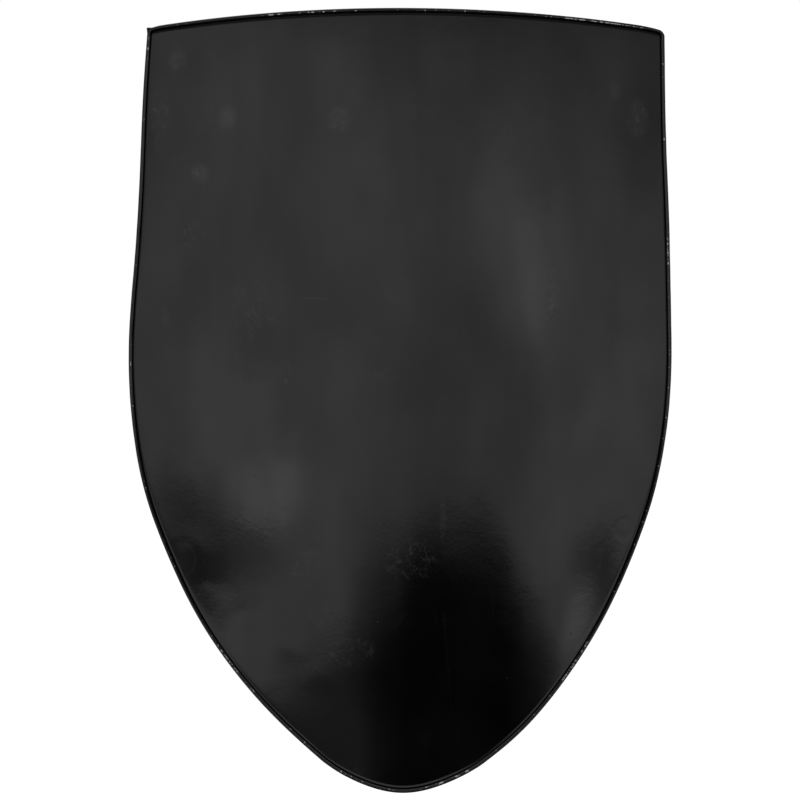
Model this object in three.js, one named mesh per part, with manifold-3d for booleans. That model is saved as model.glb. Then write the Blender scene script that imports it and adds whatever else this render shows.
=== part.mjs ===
// Steel heater shield with a rolled, wired rim and leather arm and hand straps.
// Millimetres, +Z up. The painted face looks along -Y and the bearer stands at +Y.
// The origin is the middle of the forearm, where the arm passes through the straps.
import * as THREE from "three";
import { mergeVertices } from "three/addons/utils/BufferGeometryUtils.js";
import Module from "manifold-3d";

// Overall shape of the plate, measured over the rim bead.
const overallHeight = 710;
const overallWidth = 504;
const curveRadius = 550;
const sheetThickness = 1;
const plateMiddleBelowArm = 62;
const armAxisBehindPlate = 56;

// Rim: the edge of the sheet is set back over a shoulder, so that a groove runs inside the bead,
// and rolled forward round a wire. The reaches are measured inwards from the bend line. The
// rolls of the top and the sides meet at a mitre.
const wireRadius = 0.8;
const wireClearance = 0.15;
const rollTurn = THREE.MathUtils.degToRad(275);
const rollSteps = 6;
const beadSetBack = 0.9;
const rimBand = 3.4;
const shoulderReach = 3;
const grooveReach = 1.9;
const wireSides = 6;
const cornerCell = 6;

// Grid of the plate.
const plateColumns = 16;
const plateRows = 26;
const tipArcShare = 0.095;

// Welded strap loops, bent from round rod.
const loopRodRadius = 2.5;
const loopBendRadius = 5;
const loopBarHeight = 9;
const loopSideClearance = 2;
const weldRadius = 5.2;
const weldHeight = 3;
const rodSides = 8;

// Leather arm strap: a doubled buckle strap above, a holed strap over the arm.
const armStrapX = 95;
const armStrapWidth = 38;
const armLeather = 2.8;
const armLoopRise = 88;
const strapRake = THREE.MathUtils.degToRad(30.5);
const armArchRadius = 48;
const heelBarFromLoop = 60;
const tongueTailEnd = 4;
const tongueTipLength = 24;
const tongueHoleLength = 14;
const tongueHoleWidth = 4.2;
const tongueHolePitch = 20;
const usedHolePastHeel = 5.6;
const shortPlyLength = 27;
const tongueAtRoller = 3;
const tongueCrest = 0.7;

// Leather hand strap.
const handStrapX = -100;
const handStrapWidth = 28;
const handLeather = 4;
const handLoopRise = 60;
const handArchHeight = 60;
const handArchRadius = 35;
const handArchFlat = 52;
const handShortPly = 25;

// Folds, edges and clearances shared by the leather work.
const seatGap = 0.3;
const plyGap = 0.3;
const foldTaper = THREE.MathUtils.degToRad(13);
const foldBendRadius = 6;
const leatherEdge = 0.55;
const tipEndShare = 0.25;
const tipStations = 6;
const bendStep = THREE.MathUtils.degToRad(24);

// Rivets and burrs.
const rivetShankRadius = 1.6;
const rivetHoleClearance = 0.3;
const rivetHeadRadius = 4.5;
const rivetHeadHeight = 1.2;
const rivetPeenRadius = 2.7;
const rivetPeenHeight = 1;
const burrRadius = 4;
const burrThickness = 0.9;
const rivetFromLoop = 15.5;
const armRivetSpread = 9;
const handRivetSpread = 6.5;
const roundSides = 12;

// Roller buckle.
const buckleWireRadius = 2.25;
const buckleLength = 28;
const buckleCornerRadius = 4.5;
const rollerWall = 0.8;
const rollerEndClearance = 0.6;
const rollerEdge = 0.3;
const prongRadius = 1.25;
const prongPastRoller = 2;
const prongSlotClearance = 0.6;
const prongSlotBack = 7;
const prongCurlGap = THREE.MathUtils.degToRad(38);
const prongTipShare = 0.6;

// Leather keeper that slides on the doubled buckle strap.
const keeperLength = 10;
const keeperLeather = 2;
const keeperClearance = 0.4;
const keeperCorner = 2.6;

// Cutters reach this far past what they cut.
const overrun = 6;

// Points of a path, and of a mesh, that are closer than this are one point.
const samePoint = 0.01;
const sameVertex = 1e-4;

const rollInner = wireRadius + wireClearance;
const rollOuter = rollInner + sheetThickness;
const rollCentre = sheetThickness / 2 + rollInner;
const rollLift = rollCentre - beadSetBack;
const beadSideReach = rollOuter + (rollLift * overallWidth) / 2 / curveRadius;
const halfWidth = overallWidth / 2 - beadSideReach;
const halfHeight = overallHeight / 2 - rollOuter;
const backRadius = curveRadius - sheetThickness / 2;

// The bend line of the rim, hand-drawn like the real one, so the two sides differ a little.
// Each point is a share of the half width and of the half height, from the left top corner
// round the point to the right top corner.
const outlineShares = [
  [-0.925, 0.971],
  [-0.942, 0.8],
  [-0.957, 0.55],
  [-0.973, 0.38],
  [-0.992, 0.23],
  [-0.999, 0.1],
  [-0.985, -0.055],
  [-0.943, -0.224],
  [-0.862, -0.379],
  [-0.735, -0.56],
  [-0.575, -0.717],
  [-0.4, -0.845],
  [-0.2, -0.956],
  [0.01, -1],
  [0.225, -0.957],
  [0.43, -0.853],
  [0.6, -0.715],
  [0.745, -0.557],
  [0.868, -0.37],
  [0.94, -0.222],
  [0.985, -0.05],
  [0.999, 0.1],
  [0.996, 0.25],
  [0.989, 0.48],
  [0.976, 0.7],
  [0.971, 0.969],
];

const wasm = await Module();
wasm.setup();

// Solids

function asSolid(geometry) {
  const bare = geometry.index ? geometry.toNonIndexed() : geometry.clone();
  bare.deleteAttribute("normal");
  bare.deleteAttribute("uv");
  const merged = mergeVertices(bare, sameVertex);
  return new wasm.Manifold(
    new wasm.Mesh({
      numProp: 3,
      vertProperties: merged.attributes.position.array,
      triVerts: new Uint32Array(merged.index.array),
    }),
  );
}

function asGeometry(solid) {
  const mesh = solid.getMesh();
  const geometry = new THREE.BufferGeometry();
  geometry.setAttribute("position", new THREE.BufferAttribute(mesh.vertProperties, 3));
  geometry.setIndex(new THREE.BufferAttribute(mesh.triVerts, 1));
  return geometry;
}

function cutFrom(geometry, cutters) {
  const cut = cutters.reduce((solid, cutter) => solid.subtract(asSolid(cutter)), asSolid(geometry));
  return asGeometry(cut);
}

// A closed shell from corner points and triangles, turned so that its faces look outward.
function shell(points, triangles) {
  let volume = 0;
  const cross = new THREE.Vector3();
  for (const [a, b, c] of triangles) {
    volume += points[a].dot(cross.crossVectors(points[b], points[c]));
  }
  const index = volume > 0 ? triangles.flat() : triangles.flatMap(([a, b, c]) => [a, c, b]);
  const geometry = new THREE.BufferGeometry();
  geometry.setAttribute(
    "position",
    new THREE.Float32BufferAttribute(points.flatMap((point) => point.toArray()), 3),
  );
  geometry.setIndex(index);
  return geometry;
}

// A loft through convex sections that all have the same number of corners.
function loft(sections, closed = false) {
  const corners = sections[0].length;
  const last = sections.length - 1;
  const triangles = [];
  for (let ring = 0; ring < sections.length - (closed ? 0 : 1); ring++) {
    const next = (ring + 1) % sections.length;
    for (let corner = 0; corner < corners; corner++) {
      const a = ring * corners + corner;
      const b = ring * corners + ((corner + 1) % corners);
      const c = next * corners + ((corner + 1) % corners);
      const d = next * corners + corner;
      triangles.push([a, b, c], [a, c, d]);
    }
  }
  for (let corner = 1; !closed && corner < corners - 1; corner++) {
    triangles.push([0, corner + 1, corner]);
    triangles.push([last * corners, last * corners + corner, last * corners + corner + 1]);
  }
  return shell(sections.flat(), triangles);
}

// Paths

// Points of a polyline whose corners [x, y, radius] are rounded by tangent arcs.
function roundedPath(corners) {
  const points = [];
  const add = (point) => {
    if (!points.length || point.distanceTo(points[points.length - 1]) > samePoint) points.push(point);
  };
  corners.forEach(([x, y, radius], i) => {
    const here = new THREE.Vector2(x, y);
    if (!radius || i === 0 || i === corners.length - 1) {
      add(here);
      return;
    }
    const back = new THREE.Vector2(...corners[i - 1].slice(0, 2)).sub(here).normalize();
    const ahead = new THREE.Vector2(...corners[i + 1].slice(0, 2)).sub(here).normalize();
    const half = Math.acos(THREE.MathUtils.clamp(back.dot(ahead), -1, 1)) / 2;
    const centre = back.clone().add(ahead).normalize().multiplyScalar(radius / Math.sin(half)).add(here);
    const turn = (Math.PI - 2 * half) * Math.sign(ahead.cross(back));
    const start = back.multiplyScalar(radius / Math.tan(half)).add(here).sub(centre);
    const steps = Math.ceil(Math.abs(turn) / bendStep);
    for (let step = 0; step <= steps; step++) {
      add(start.clone().rotateAround(new THREE.Vector2(), (turn * step) / steps).add(centre));
    }
  });
  return points;
}

// Direction and mitre factor of a path at one of its points.
function pathFrame(points, i, closed = false) {
  const count = points.length;
  const from = closed ? points[(i + count - 1) % count] : points[Math.max(i - 1, 0)];
  const to = closed ? points[(i + 1) % count] : points[Math.min(i + 1, count - 1)];
  const arriving = points[i].clone().sub(from).normalize();
  const leaving = to.clone().sub(points[i]).normalize();
  const tangent = arriving.clone().add(leaving).normalize();
  const straight = Math.max(tangent.dot(arriving), tangent.dot(leaving));
  return { tangent, mitre: 1 / straight };
}

// The point and direction at a distance along a polyline.
function alongPath(points, distance) {
  let left = distance;
  for (let i = 1; i < points.length; i++) {
    const span = points[i].distanceTo(points[i - 1]);
    if (left <= span || i === points.length - 1) {
      const tangent = points[i].clone().sub(points[i - 1]).normalize();
      return { point: points[i - 1].clone().addScaledVector(tangent, left), tangent };
    }
    left -= span;
  }
}

// Distance along a polyline to each of its points.
function distances(points) {
  let total = 0;
  return points.map((point, i) => (total += i ? point.distanceTo(points[i - 1]) : 0));
}

// A round rod along 3-D points. The reference is square to the plane that the rod bends in.
function rod(points, reference, radiusAt, sides, closed = false) {
  const sections = points.map((point, i) => {
    const { tangent, mitre } = pathFrame(points, i, closed);
    const up = (Array.isArray(reference) ? reference[i] : reference).clone();
    const side = new THREE.Vector3().crossVectors(tangent, up).normalize();
    up.crossVectors(side, tangent);
    return Array.from({ length: sides }, (_, k) => {
      const angle = ((k + 0.5) * 2 * Math.PI) / sides;
      return point
        .clone()
        .addScaledVector(side, Math.cos(angle) * radiusAt(i) * mitre)
        .addScaledVector(up, Math.sin(angle) * radiusAt(i));
    });
  });
  return loft(sections, closed);
}

// A leather band with eased edges. Its path lies in the YZ plane and its width along X.
function band(path, thickness, halfWidthAt) {
  const reach = distances(path);
  const sections = path.map((point, i) => {
    const { tangent, mitre } = pathFrame(path, i);
    const normal = new THREE.Vector2(-tangent.y, tangent.x);
    const half = halfWidthAt(reach[i]);
    const face = thickness / 2;
    const corners = [
      [half - leatherEdge, face],
      [half, face - leatherEdge],
      [half, leatherEdge - face],
      [half - leatherEdge, -face],
      [leatherEdge - half, -face],
      [-half, leatherEdge - face],
      [-half, face - leatherEdge],
      [leatherEdge - half, face],
    ];
    return corners.map(([x, across]) => {
      const place = normal.clone().multiplyScalar(across * mitre).add(point);
      return new THREE.Vector3(x, place.x, place.y);
    });
  });
  return loft(sections);
}

// Corners of the fold of a band round a bar at (0, 0), running towards +u, with its two plies
// drawn together past the bar. The path comes in on the -v side and leaves on the +v side.
function foldCorners(barRadius, thickness) {
  const wrap = barRadius + seatGap + thickness / 2;
  const ply = (thickness + plyGap) / 2;
  const closeAt = (wrap / Math.cos(foldTaper) - ply) / Math.tan(foldTaper);
  const corner = wrap / Math.cos(foldTaper) + wrap * Math.tan(foldTaper);
  return [
    [closeAt, -ply, foldBendRadius],
    [-wrap, -corner, wrap],
    [-wrap, corner, wrap],
    [closeAt, ply, foldBendRadius],
  ];
}

// A slot or round-ended cutter: long along Y, wide along X, cutting along Z.
function slotCutter(width, length, depth) {
  const straight = Math.max(length - width, 0) / 2;
  const shape = new THREE.Shape();
  shape.absarc(0, straight, width / 2, 0, Math.PI, false);
  shape.absarc(0, -straight, width / 2, Math.PI, 2 * Math.PI, false);
  const settings = { depth: 2 * depth, bevelEnabled: false, curveSegments: 5 };
  return new THREE.ExtrudeGeometry(shape, settings).translate(0, 0, -depth);
}

// Plate, rim and wire

function bentPoint(x, z) {
  const sine = x / curveRadius;
  const cosine = Math.sqrt(1 - sine * sine);
  const apex = -armAxisBehindPlate - sheetThickness / 2;
  return {
    point: new THREE.Vector3(x, apex + curveRadius * (1 - cosine), z - plateMiddleBelowArm),
    front: new THREE.Vector3(sine, -cosine, 0),
  };
}

// Even stations along one edge, with a short cell at each end that meets a top corner.
function edgeStations(count, endShares) {
  const [first, last] = endShares;
  const inner = count - (first ? 1 : 0) - (last ? 1 : 0);
  const even = Array.from({ length: inner + 1 }, (_, i) => first + ((1 - first - last) * i) / inner);
  return [...(first ? [0] : []), ...even, ...(last ? [1] : [])];
}

function outlineEdges() {
  const places = outlineShares.map(([x, z]) => new THREE.Vector3(x * halfWidth, 0, z * halfHeight));
  const around = new THREE.CatmullRomCurve3(places, false, "centripetal");
  around.arcLengthDivisions = 600;
  const left = places[0];
  const right = places[places.length - 1];
  const crown = new THREE.Vector3(0, 0, 2 * halfHeight - (left.z + right.z) / 2);
  const top = new THREE.QuadraticBezierCurve3(left, crown, right);
  const sideLength = around.getLength() * (0.5 - tipArcShare / 2);
  const topShare = cornerCell / top.getLength();
  const columns = edgeStations(plateColumns, [topShare, topShare]);
  const rows = edgeStations(plateRows, [0, cornerCell / sideLength]);
  const sideShare = (1 - tipArcShare) / 2;
  return {
    columns,
    rows,
    left: rows.map((row) => around.getPointAt(sideShare * (1 - row))),
    right: rows.map((row) => around.getPointAt(1 - sideShare * (1 - row))),
    bottom: columns.map((column) => around.getPointAt(sideShare + tipArcShare * column)),
    top: columns.map((column) => top.getPointAt(column)),
  };
}

// Stations round the plate, each with its place in the grid.
function rimStations() {
  const stations = [];
  for (let i = 0; i < plateColumns; i++) stations.push({ j: plateRows, i });
  for (let j = plateRows; j > 0; j--) stations.push({ j, i: plateColumns });
  for (let i = plateColumns; i > 0; i--) stations.push({ j: 0, i });
  for (let j = 0; j < plateRows; j++) stations.push({ j, i: 0 });
  return stations;
}

function outlinePoint({ left, right, bottom, top }, { i, j }) {
  if (j === plateRows) return top[i];
  if (i === plateColumns) return right[j];
  return j === 0 ? bottom[i] : left[j];
}

// The bend line at each station, with the front and the outward direction of the sheet there.
function rimFrames(edges, stations) {
  const places = stations.map((station) => {
    const { x, z } = outlinePoint(edges, station);
    return bentPoint(x, z);
  });
  const line = places.map(({ point }) => point);
  return places.map(({ point, front }, k) => {
    const { tangent, mitre } = pathFrame(line, k, true);
    const out = new THREE.Vector3().crossVectors(front, tangent).normalize();
    return { point, front, out, mitre };
  });
}

// The edges of the flat pattern's face, which ends a band inside the bend line.
function faceEdges(stations, frames) {
  const face = { left: [], right: [], bottom: [], top: [] };
  stations.forEach(({ i, j }, k) => {
    const { point, out, mitre } = frames[k];
    const inset = point.clone().addScaledVector(out, -rimBand * mitre);
    const place = new THREE.Vector3(inset.x, 0, inset.z + plateMiddleBelowArm);
    if (j === plateRows) face.top[i] = place;
    if (j === 0) face.bottom[i] = place;
    if (i === 0) face.left[j] = place;
    if (i === plateColumns) face.right[j] = place;
  });
  return face;
}

// A patch between the four edges of the face, bent to the plate's curve.
function faceGrid({ columns, rows }, { left, right, bottom, top }) {
  return rows.map((row, j) =>
    columns.map((column, i) => {
      const place = bottom[i].clone().multiplyScalar(1 - row).addScaledVector(top[i], row);
      place.addScaledVector(left[j], 1 - column).addScaledVector(right[j], column);
      place.addScaledVector(bottom[0], -(1 - column) * (1 - row));
      place.addScaledVector(bottom[plateColumns], -column * (1 - row));
      place.addScaledVector(top[0], -(1 - column) * row);
      place.addScaledVector(top[plateColumns], -column * row);
      return bentPoint(place.x, place.z);
    }),
  );
}

// One face of the rim's section, as [outward, forward] from the bend line: over the shoulder,
// along the groove and round the wire. Side is 1 for the front face and -1 for the back face.
function rimSection(side) {
  const face = (side * sheetThickness) / 2;
  const slope = Math.atan2(beadSetBack, shoulderReach - grooveReach);
  const shift = face * Math.tan(slope / 2);
  const radius = side > 0 ? rollInner : rollOuter;
  const section = [
    [shift - shoulderReach, face],
    [shift - grooveReach, face - beadSetBack],
  ];
  for (let step = 0; step <= rollSteps; step++) {
    const angle = (rollTurn * step) / rollSteps - Math.PI / 2;
    section.push([radius * Math.cos(angle), rollLift + radius * Math.sin(angle)]);
  }
  return section;
}

function shieldPlate(edges, stations, frames) {
  const grid = faceGrid(edges, faceEdges(stations, frames));
  const points = [];
  const triangles = [];
  const quad = (a, b, c, d) => triangles.push([a, b, c], [a, c, d]);
  const onFront = (i, j) => j * (plateColumns + 1) + i;
  const onBack = (i, j) => onFront(i, j + plateRows + 1);
  for (const offset of [sheetThickness / 2, -sheetThickness / 2]) {
    for (const cell of grid.flat()) {
      points.push(cell.point.clone().addScaledVector(cell.front, offset));
    }
  }
  for (let j = 0; j < plateRows; j++) {
    for (let i = 0; i < plateColumns; i++) {
      quad(onFront(i, j), onFront(i, j + 1), onFront(i + 1, j + 1), onFront(i + 1, j));
      quad(onBack(i, j), onBack(i + 1, j), onBack(i + 1, j + 1), onBack(i, j + 1));
    }
  }
  const chains = stations.map(({ i, j }, k) => {
    const { point, front, out, mitre } = frames[k];
    return [1, -1].map((side) => {
      const chain = [side > 0 ? onFront(i, j) : onBack(i, j)];
      for (const [outward, forward] of rimSection(side)) {
        const place = point.clone().addScaledVector(out, outward * mitre);
        chain.push(points.push(place.addScaledVector(front, forward)) - 1);
      }
      return chain;
    });
  });
  const end = chains[0][0].length - 1;
  chains.forEach(([frontA, backA], k) => {
    const [frontB, backB] = chains[(k + 1) % chains.length];
    for (let step = 0; step < end; step++) {
      quad(frontB[step], frontA[step], frontA[step + 1], frontB[step + 1]);
      quad(backA[step], backB[step], backB[step + 1], backA[step + 1]);
    }
    quad(frontB[end], frontA[end], backA[end], backB[end]);
  });
  return shell(points, triangles);
}

function rimWire(frames) {
  const points = frames.map(({ point, front }) => point.clone().addScaledVector(front, rollLift));
  const references = frames.map(({ front }) => front);
  return rod(points, references, () => wireRadius, wireSides, true);
}

// Strap loops, rivets, burrs

// A staple of round rod with a weld bead at each foot, cut to the back of the plate.
function strapLoop(strapWidth, plateHere) {
  const legX = strapWidth / 2 + loopSideClearance + loopRodRadius;
  const footY = backRadius - Math.sqrt(backRadius ** 2 - legX ** 2) - sheetThickness / 4;
  const path = roundedPath([
    [-legX, footY],
    [-legX, loopBarHeight, loopBendRadius],
    [legX, loopBarHeight, loopBendRadius],
    [legX, footY],
  ]);
  const points = path.map(({ x, y }) => new THREE.Vector3(x, y, 0));
  const staple = rod(points, new THREE.Vector3(0, 0, 1), () => loopRodRadius, rodSides);
  const weld = [
    new THREE.Vector2(0, 0),
    new THREE.Vector2(weldRadius, 0),
    new THREE.Vector2((weldRadius + loopRodRadius) / 2, weldHeight / 3),
    new THREE.Vector2(loopRodRadius, weldHeight),
    new THREE.Vector2(0, weldHeight),
  ];
  let joined = asSolid(staple);
  for (const side of [-1, 1]) {
    const bead = new THREE.LatheGeometry(weld, roundSides).translate(side * legX, footY, 0);
    joined = joined.add(asSolid(bead));
  }
  const shifts = [seatGap, -sheetThickness / 2];
  const cutters = shifts.map((shift) => plateHere.clone().translate(0, shift, 0));
  return cutFrom(asGeometry(joined), cutters);
}

// A rivet through a stack of leather, along Z, with its head at +Z and its peened end at -Z.
function rivet(stack) {
  const headSeat = stack / 2 + seatGap;
  const burrFace = headSeat + burrThickness + seatGap;
  const profile = [
    [0, -burrFace - rivetPeenHeight],
    [rivetPeenRadius / 2, -burrFace - rivetPeenHeight],
    [rivetPeenRadius, -burrFace],
    [rivetShankRadius, -burrFace],
    [rivetShankRadius, headSeat],
    [rivetHeadRadius, headSeat],
    [rivetHeadRadius, headSeat + rivetHeadHeight / 3],
    [rivetHeadRadius / 2, headSeat + rivetHeadHeight],
    [0, headSeat + rivetHeadHeight],
  ];
  return lathe(profile);
}

function burr(stack) {
  const face = -(stack / 2 + seatGap);
  const bore = rivetShankRadius + rivetHoleClearance;
  return lathe([
    [bore, face - burrThickness],
    [burrRadius, face - burrThickness],
    [burrRadius, face],
    [bore, face],
    [bore, face - burrThickness],
  ]);
}

// A turned shape round the Z axis.
function lathe(profile) {
  const points = profile.map(([x, y]) => new THREE.Vector2(x, y));
  return new THREE.LatheGeometry(points, roundSides).rotateX(Math.PI / 2);
}

function rivetHole(x, y, stack) {
  const radius = rivetShankRadius + rivetHoleClearance;
  return new THREE.CylinderGeometry(radius, radius, stack + 2 * overrun, roundSides)
    .rotateX(Math.PI / 2)
    .translate(x, y, 0);
}

// Scene graph helpers

const shield = new THREE.Group();

const finishes = {
  blackPaint: { color: 0x16171a, roughness: 0.28, metalness: 0.1 },
  steelWire: { color: 0x2b2c2e, roughness: 0.35, metalness: 0.6 },
  strapLeather: { color: 0x4a2c1a, roughness: 0.65, metalness: 0 },
  handLeather: { color: 0x442817, roughness: 0.65, metalness: 0 },
  nickelSteel: { color: 0xb9babc, roughness: 0.28, metalness: 1 },
  copper: { color: 0xb4714a, roughness: 0.35, metalness: 1 },
};

function addPiece(group, name, geometry, finish) {
  const mesh = new THREE.Mesh(geometry, new THREE.MeshStandardMaterial(finishes[finish]));
  mesh.name = name;
  group.add(mesh);
  return mesh;
}

// A group on the back of the plate: X along the plate, Y towards the bearer, Z up.
function onPlateBack(x) {
  const sine = x / backRadius;
  const group = new THREE.Group();
  const curveCentre = curveRadius - armAxisBehindPlate - sheetThickness / 2;
  group.position.set(x, curveCentre - backRadius * Math.sqrt(1 - sine * sine), 0);
  group.rotation.z = Math.asin(sine);
  shield.add(group);
  return group;
}

// A group at a loop's bar: Y along the strap as it leaves the bar, Z to the strap's outer side.
// The lower loop's group is the upper one's mirror image, made by a half turn.
function atLoop(parent, rise, rake) {
  const group = new THREE.Group();
  group.position.set(0, loopBarHeight, rise);
  group.rotation.x = -Math.sign(rise) * rake;
  if (rise < 0) group.rotateY(Math.PI);
  parent.add(group);
  return group;
}

function addLoops(parent, plate, prefix, rise, width) {
  parent.updateMatrixWorld(true);
  for (const [word, side] of [
    ["upper", 1],
    ["lower", -1],
  ]) {
    const place = new THREE.Group();
    place.position.z = side * rise;
    parent.add(place);
    place.updateMatrixWorld(true);
    const plateHere = plate.clone().applyMatrix4(place.matrixWorld.clone().invert());
    addPiece(place, `${prefix}_loop_${word}`, strapLoop(width, plateHere), "blackPaint");
  }
}

// A pair of rivets with their burrs through a doubled strap.
function addRivets(frame, names, fromLoop, { spread, leather }) {
  const stack = 2 * leather + plyGap;
  names.forEach((name, k) => {
    const across = spread * (2 * k - 1);
    addPiece(frame, `${name}_rivet`, rivet(stack), "copper").position.set(across, fromLoop, 0);
    addPiece(frame, `${name}_burr`, burr(stack), "copper").position.set(across, fromLoop, 0);
  });
}

// Turns points [u, v, radius] of a loop's frame into [y, z, radius] of its parent's frame.
function toParent(frame, corners) {
  frame.updateMatrix();
  return corners.map(([u, v, radius]) => {
    const place = new THREE.Vector3(0, u, v).applyMatrix4(frame.matrix);
    return [place.y, place.z, radius];
  });
}

// Rivet holes of a loop's frame, moved into its parent's frame.
function holesInParent(frame, { spread, leather }) {
  frame.updateMatrix();
  return [-1, 1].map((side) =>
    rivetHole(side * spread, rivetFromLoop, 2 * leather + plyGap).applyMatrix4(frame.matrix),
  );
}

// Arm strap

const edges = outlineEdges();
const stations = rimStations();
const frames = rimFrames(edges, stations);
const plateGeometry = shieldPlate(edges, stations, frames);
addPiece(shield, "shield_plate", plateGeometry, "blackPaint");
addPiece(shield, "rim_wire", rimWire(frames), "steelWire");

const armStrap = onPlateBack(armStrapX);
addLoops(armStrap, plateGeometry, "arm", armLoopRise, armStrapWidth);
const buckleSide = atLoop(armStrap, armLoopRise, strapRake);
const tongueSide = atLoop(armStrap, -armLoopRise, strapRake);

const armRivets = { spread: armRivetSpread, leather: armLeather };
const armPly = (armLeather + plyGap) / 2;
const armStack = 2 * armLeather + plyGap;
const rivetFromHeel = heelBarFromLoop - rivetFromLoop;
const rollerRadius = buckleWireRadius + seatGap + rollerWall;
const tongueOverHeel = buckleWireRadius + 2 * seatGap + 1.5 * armLeather + tongueCrest;
const tongueOverLoop = loopRodRadius + 2 * seatGap + 1.5 * armLeather;
const tongueOverHeads = armStack / 2 + rivetHeadHeight + 2 * seatGap + armLeather / 2;
const rollerDrop = tongueAtRoller + armLeather / 2 + seatGap + rollerRadius;
const buckleTilt = Math.asin(rollerDrop / buckleLength);

// A strip wound round the loop's bar and the heel bar, its ends meeting under the keeper.
function buckleStrap() {
  const atLoopBar = foldCorners(loopRodRadius, armLeather);
  const atHeelBar = foldCorners(buckleWireRadius, armLeather)
    .map(([u, v, radius]) => [heelBarFromLoop - u, v, radius])
    .reverse();
  const middle = heelBarFromLoop / 2;
  const path = roundedPath([
    [middle - plyGap, -armPly],
    ...atLoopBar,
    ...atHeelBar,
    [middle + plyGap, -armPly],
  ]);
  const strip = band(path, armLeather, () => armStrapWidth / 2);
  const slotLength = 2 * (prongSlotBack + overrun);
  const slot = slotCutter(2 * (prongRadius + prongSlotClearance), slotLength, 2 * armStack);
  const cutters = [slot.translate(0, heelBarFromLoop + overrun, 0)];
  for (const along of [rivetFromLoop, rivetFromHeel]) {
    for (const side of [-1, 1]) {
      cutters.push(rivetHole(side * armRivetSpread, along, armStack));
    }
  }
  return cutFrom(strip, cutters);
}

// The holed strap: tail over the buckle strap, through the buckle, over the arm and round the
// lower loop.
function tongueStrap() {
  const rollerU = heelBarFromLoop + buckleLength * Math.cos(buckleTilt);
  const tailBend = 2 * armArchRadius;
  const tail = toParent(buckleSide, [
    [tongueTailEnd, tongueOverLoop],
    [rivetFromLoop + rivetHeadRadius, tongueOverHeads, tailBend],
    [rivetFromHeel, tongueOverHeads, tailBend],
    [heelBarFromLoop, tongueOverHeel, armArchRadius],
    [rollerU, tongueAtRoller, armArchRadius],
  ]);
  const arch = [loopBarHeight + armLoopRise / Math.tan(strapRake), 0, armArchRadius];
  const fold = foldCorners(loopRodRadius, armLeather).reverse();
  const foot = toParent(tongueSide, [...fold, [shortPlyLength, -armPly]]);
  const path = roundedPath([...tail, arch, ...foot]);
  const usedHole = heelBarFromLoop - tongueTailEnd + usedHolePastHeel;
  const cutters = holesInParent(tongueSide, armRivets);
  for (let hole = -2; hole <= 2; hole++) {
    cutters.push(tongueHole(path, usedHole + hole * tongueHolePitch));
  }
  return cutFrom(band(withTip(path), armLeather, tongueHalfWidth), cutters);
}

function tongueHole(path, distance) {
  const { point, tangent } = alongPath(path, distance);
  return slotCutter(tongueHoleWidth, tongueHoleLength, armLeather)
    .rotateX(Math.atan2(tangent.y, tangent.x))
    .translate(0, point.x, point.y);
}

// Adds stations where the tail narrows to its tip.
function withTip(path) {
  const reach = distances(path);
  const pitch = tongueTipLength / tipStations;
  const added = Array.from({ length: tipStations }, (_, k) => {
    const distance = pitch * (k + 1);
    return { distance, point: alongPath(path, distance).point };
  });
  const all = [...path.map((point, i) => ({ distance: reach[i], point })), ...added];
  all.sort((a, b) => a.distance - b.distance);
  return all
    .filter(({ distance }, i) => !i || distance - all[i - 1].distance > pitch / 4)
    .map(({ point }) => point);
}

function tongueHalfWidth(distance) {
  const share = Math.min(distance / tongueTipLength, 1);
  const round = Math.sqrt(1 - (1 - share) ** 2);
  return (armStrapWidth / 2) * (tipEndShare + (1 - tipEndShare) * round);
}

addPiece(buckleSide, "buckle_strap", buckleStrap(), "strapLeather");
addPiece(armStrap, "tongue_strap", tongueStrap(), "strapLeather");
addRivets(buckleSide, ["buckle_strap_left_loop", "buckle_strap_right_loop"], rivetFromLoop, armRivets);
addRivets(buckleSide, ["buckle_strap_left_heel", "buckle_strap_right_heel"], rivetFromHeel, armRivets);
addRivets(tongueSide, ["tongue_strap_left", "tongue_strap_right"], rivetFromLoop, armRivets);

// Buckle: X along its bars, Y from the heel bar to the roller, Z outward.
const buckle = new THREE.Group();
buckle.position.set(0, heelBarFromLoop, 0);
buckle.rotation.x = buckleTilt;
buckleSide.add(buckle);

const buckleHalfWidth = armStrapWidth / 2 + loopSideClearance + buckleWireRadius;

function buckleFrame() {
  const corners = [
    [buckleHalfWidth, 0, buckleCornerRadius],
    [buckleHalfWidth, buckleLength, buckleCornerRadius],
    [-buckleHalfWidth, buckleLength, buckleCornerRadius],
    [-buckleHalfWidth, 0, buckleCornerRadius],
  ];
  const path = roundedPath([[0, 0], ...corners, [0, 0]]);
  const points = path.slice(0, -1).map(({ x, y }) => new THREE.Vector3(x, y, 0));
  return rod(points, new THREE.Vector3(0, 0, 1), () => buckleWireRadius, rodSides, true);
}

function buckleRoller() {
  const half = buckleHalfWidth - buckleCornerRadius - rollerEndClearance;
  const bore = buckleWireRadius + seatGap;
  const profile = [
    [bore, -half],
    [rollerRadius - rollerEdge, -half],
    [rollerRadius, rollerEdge - half],
    [rollerRadius, half - rollerEdge],
    [rollerRadius - rollerEdge, half],
    [bore, half],
    [bore, -half],
  ];
  return lathe(profile).rotateY(Math.PI / 2);
}

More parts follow.
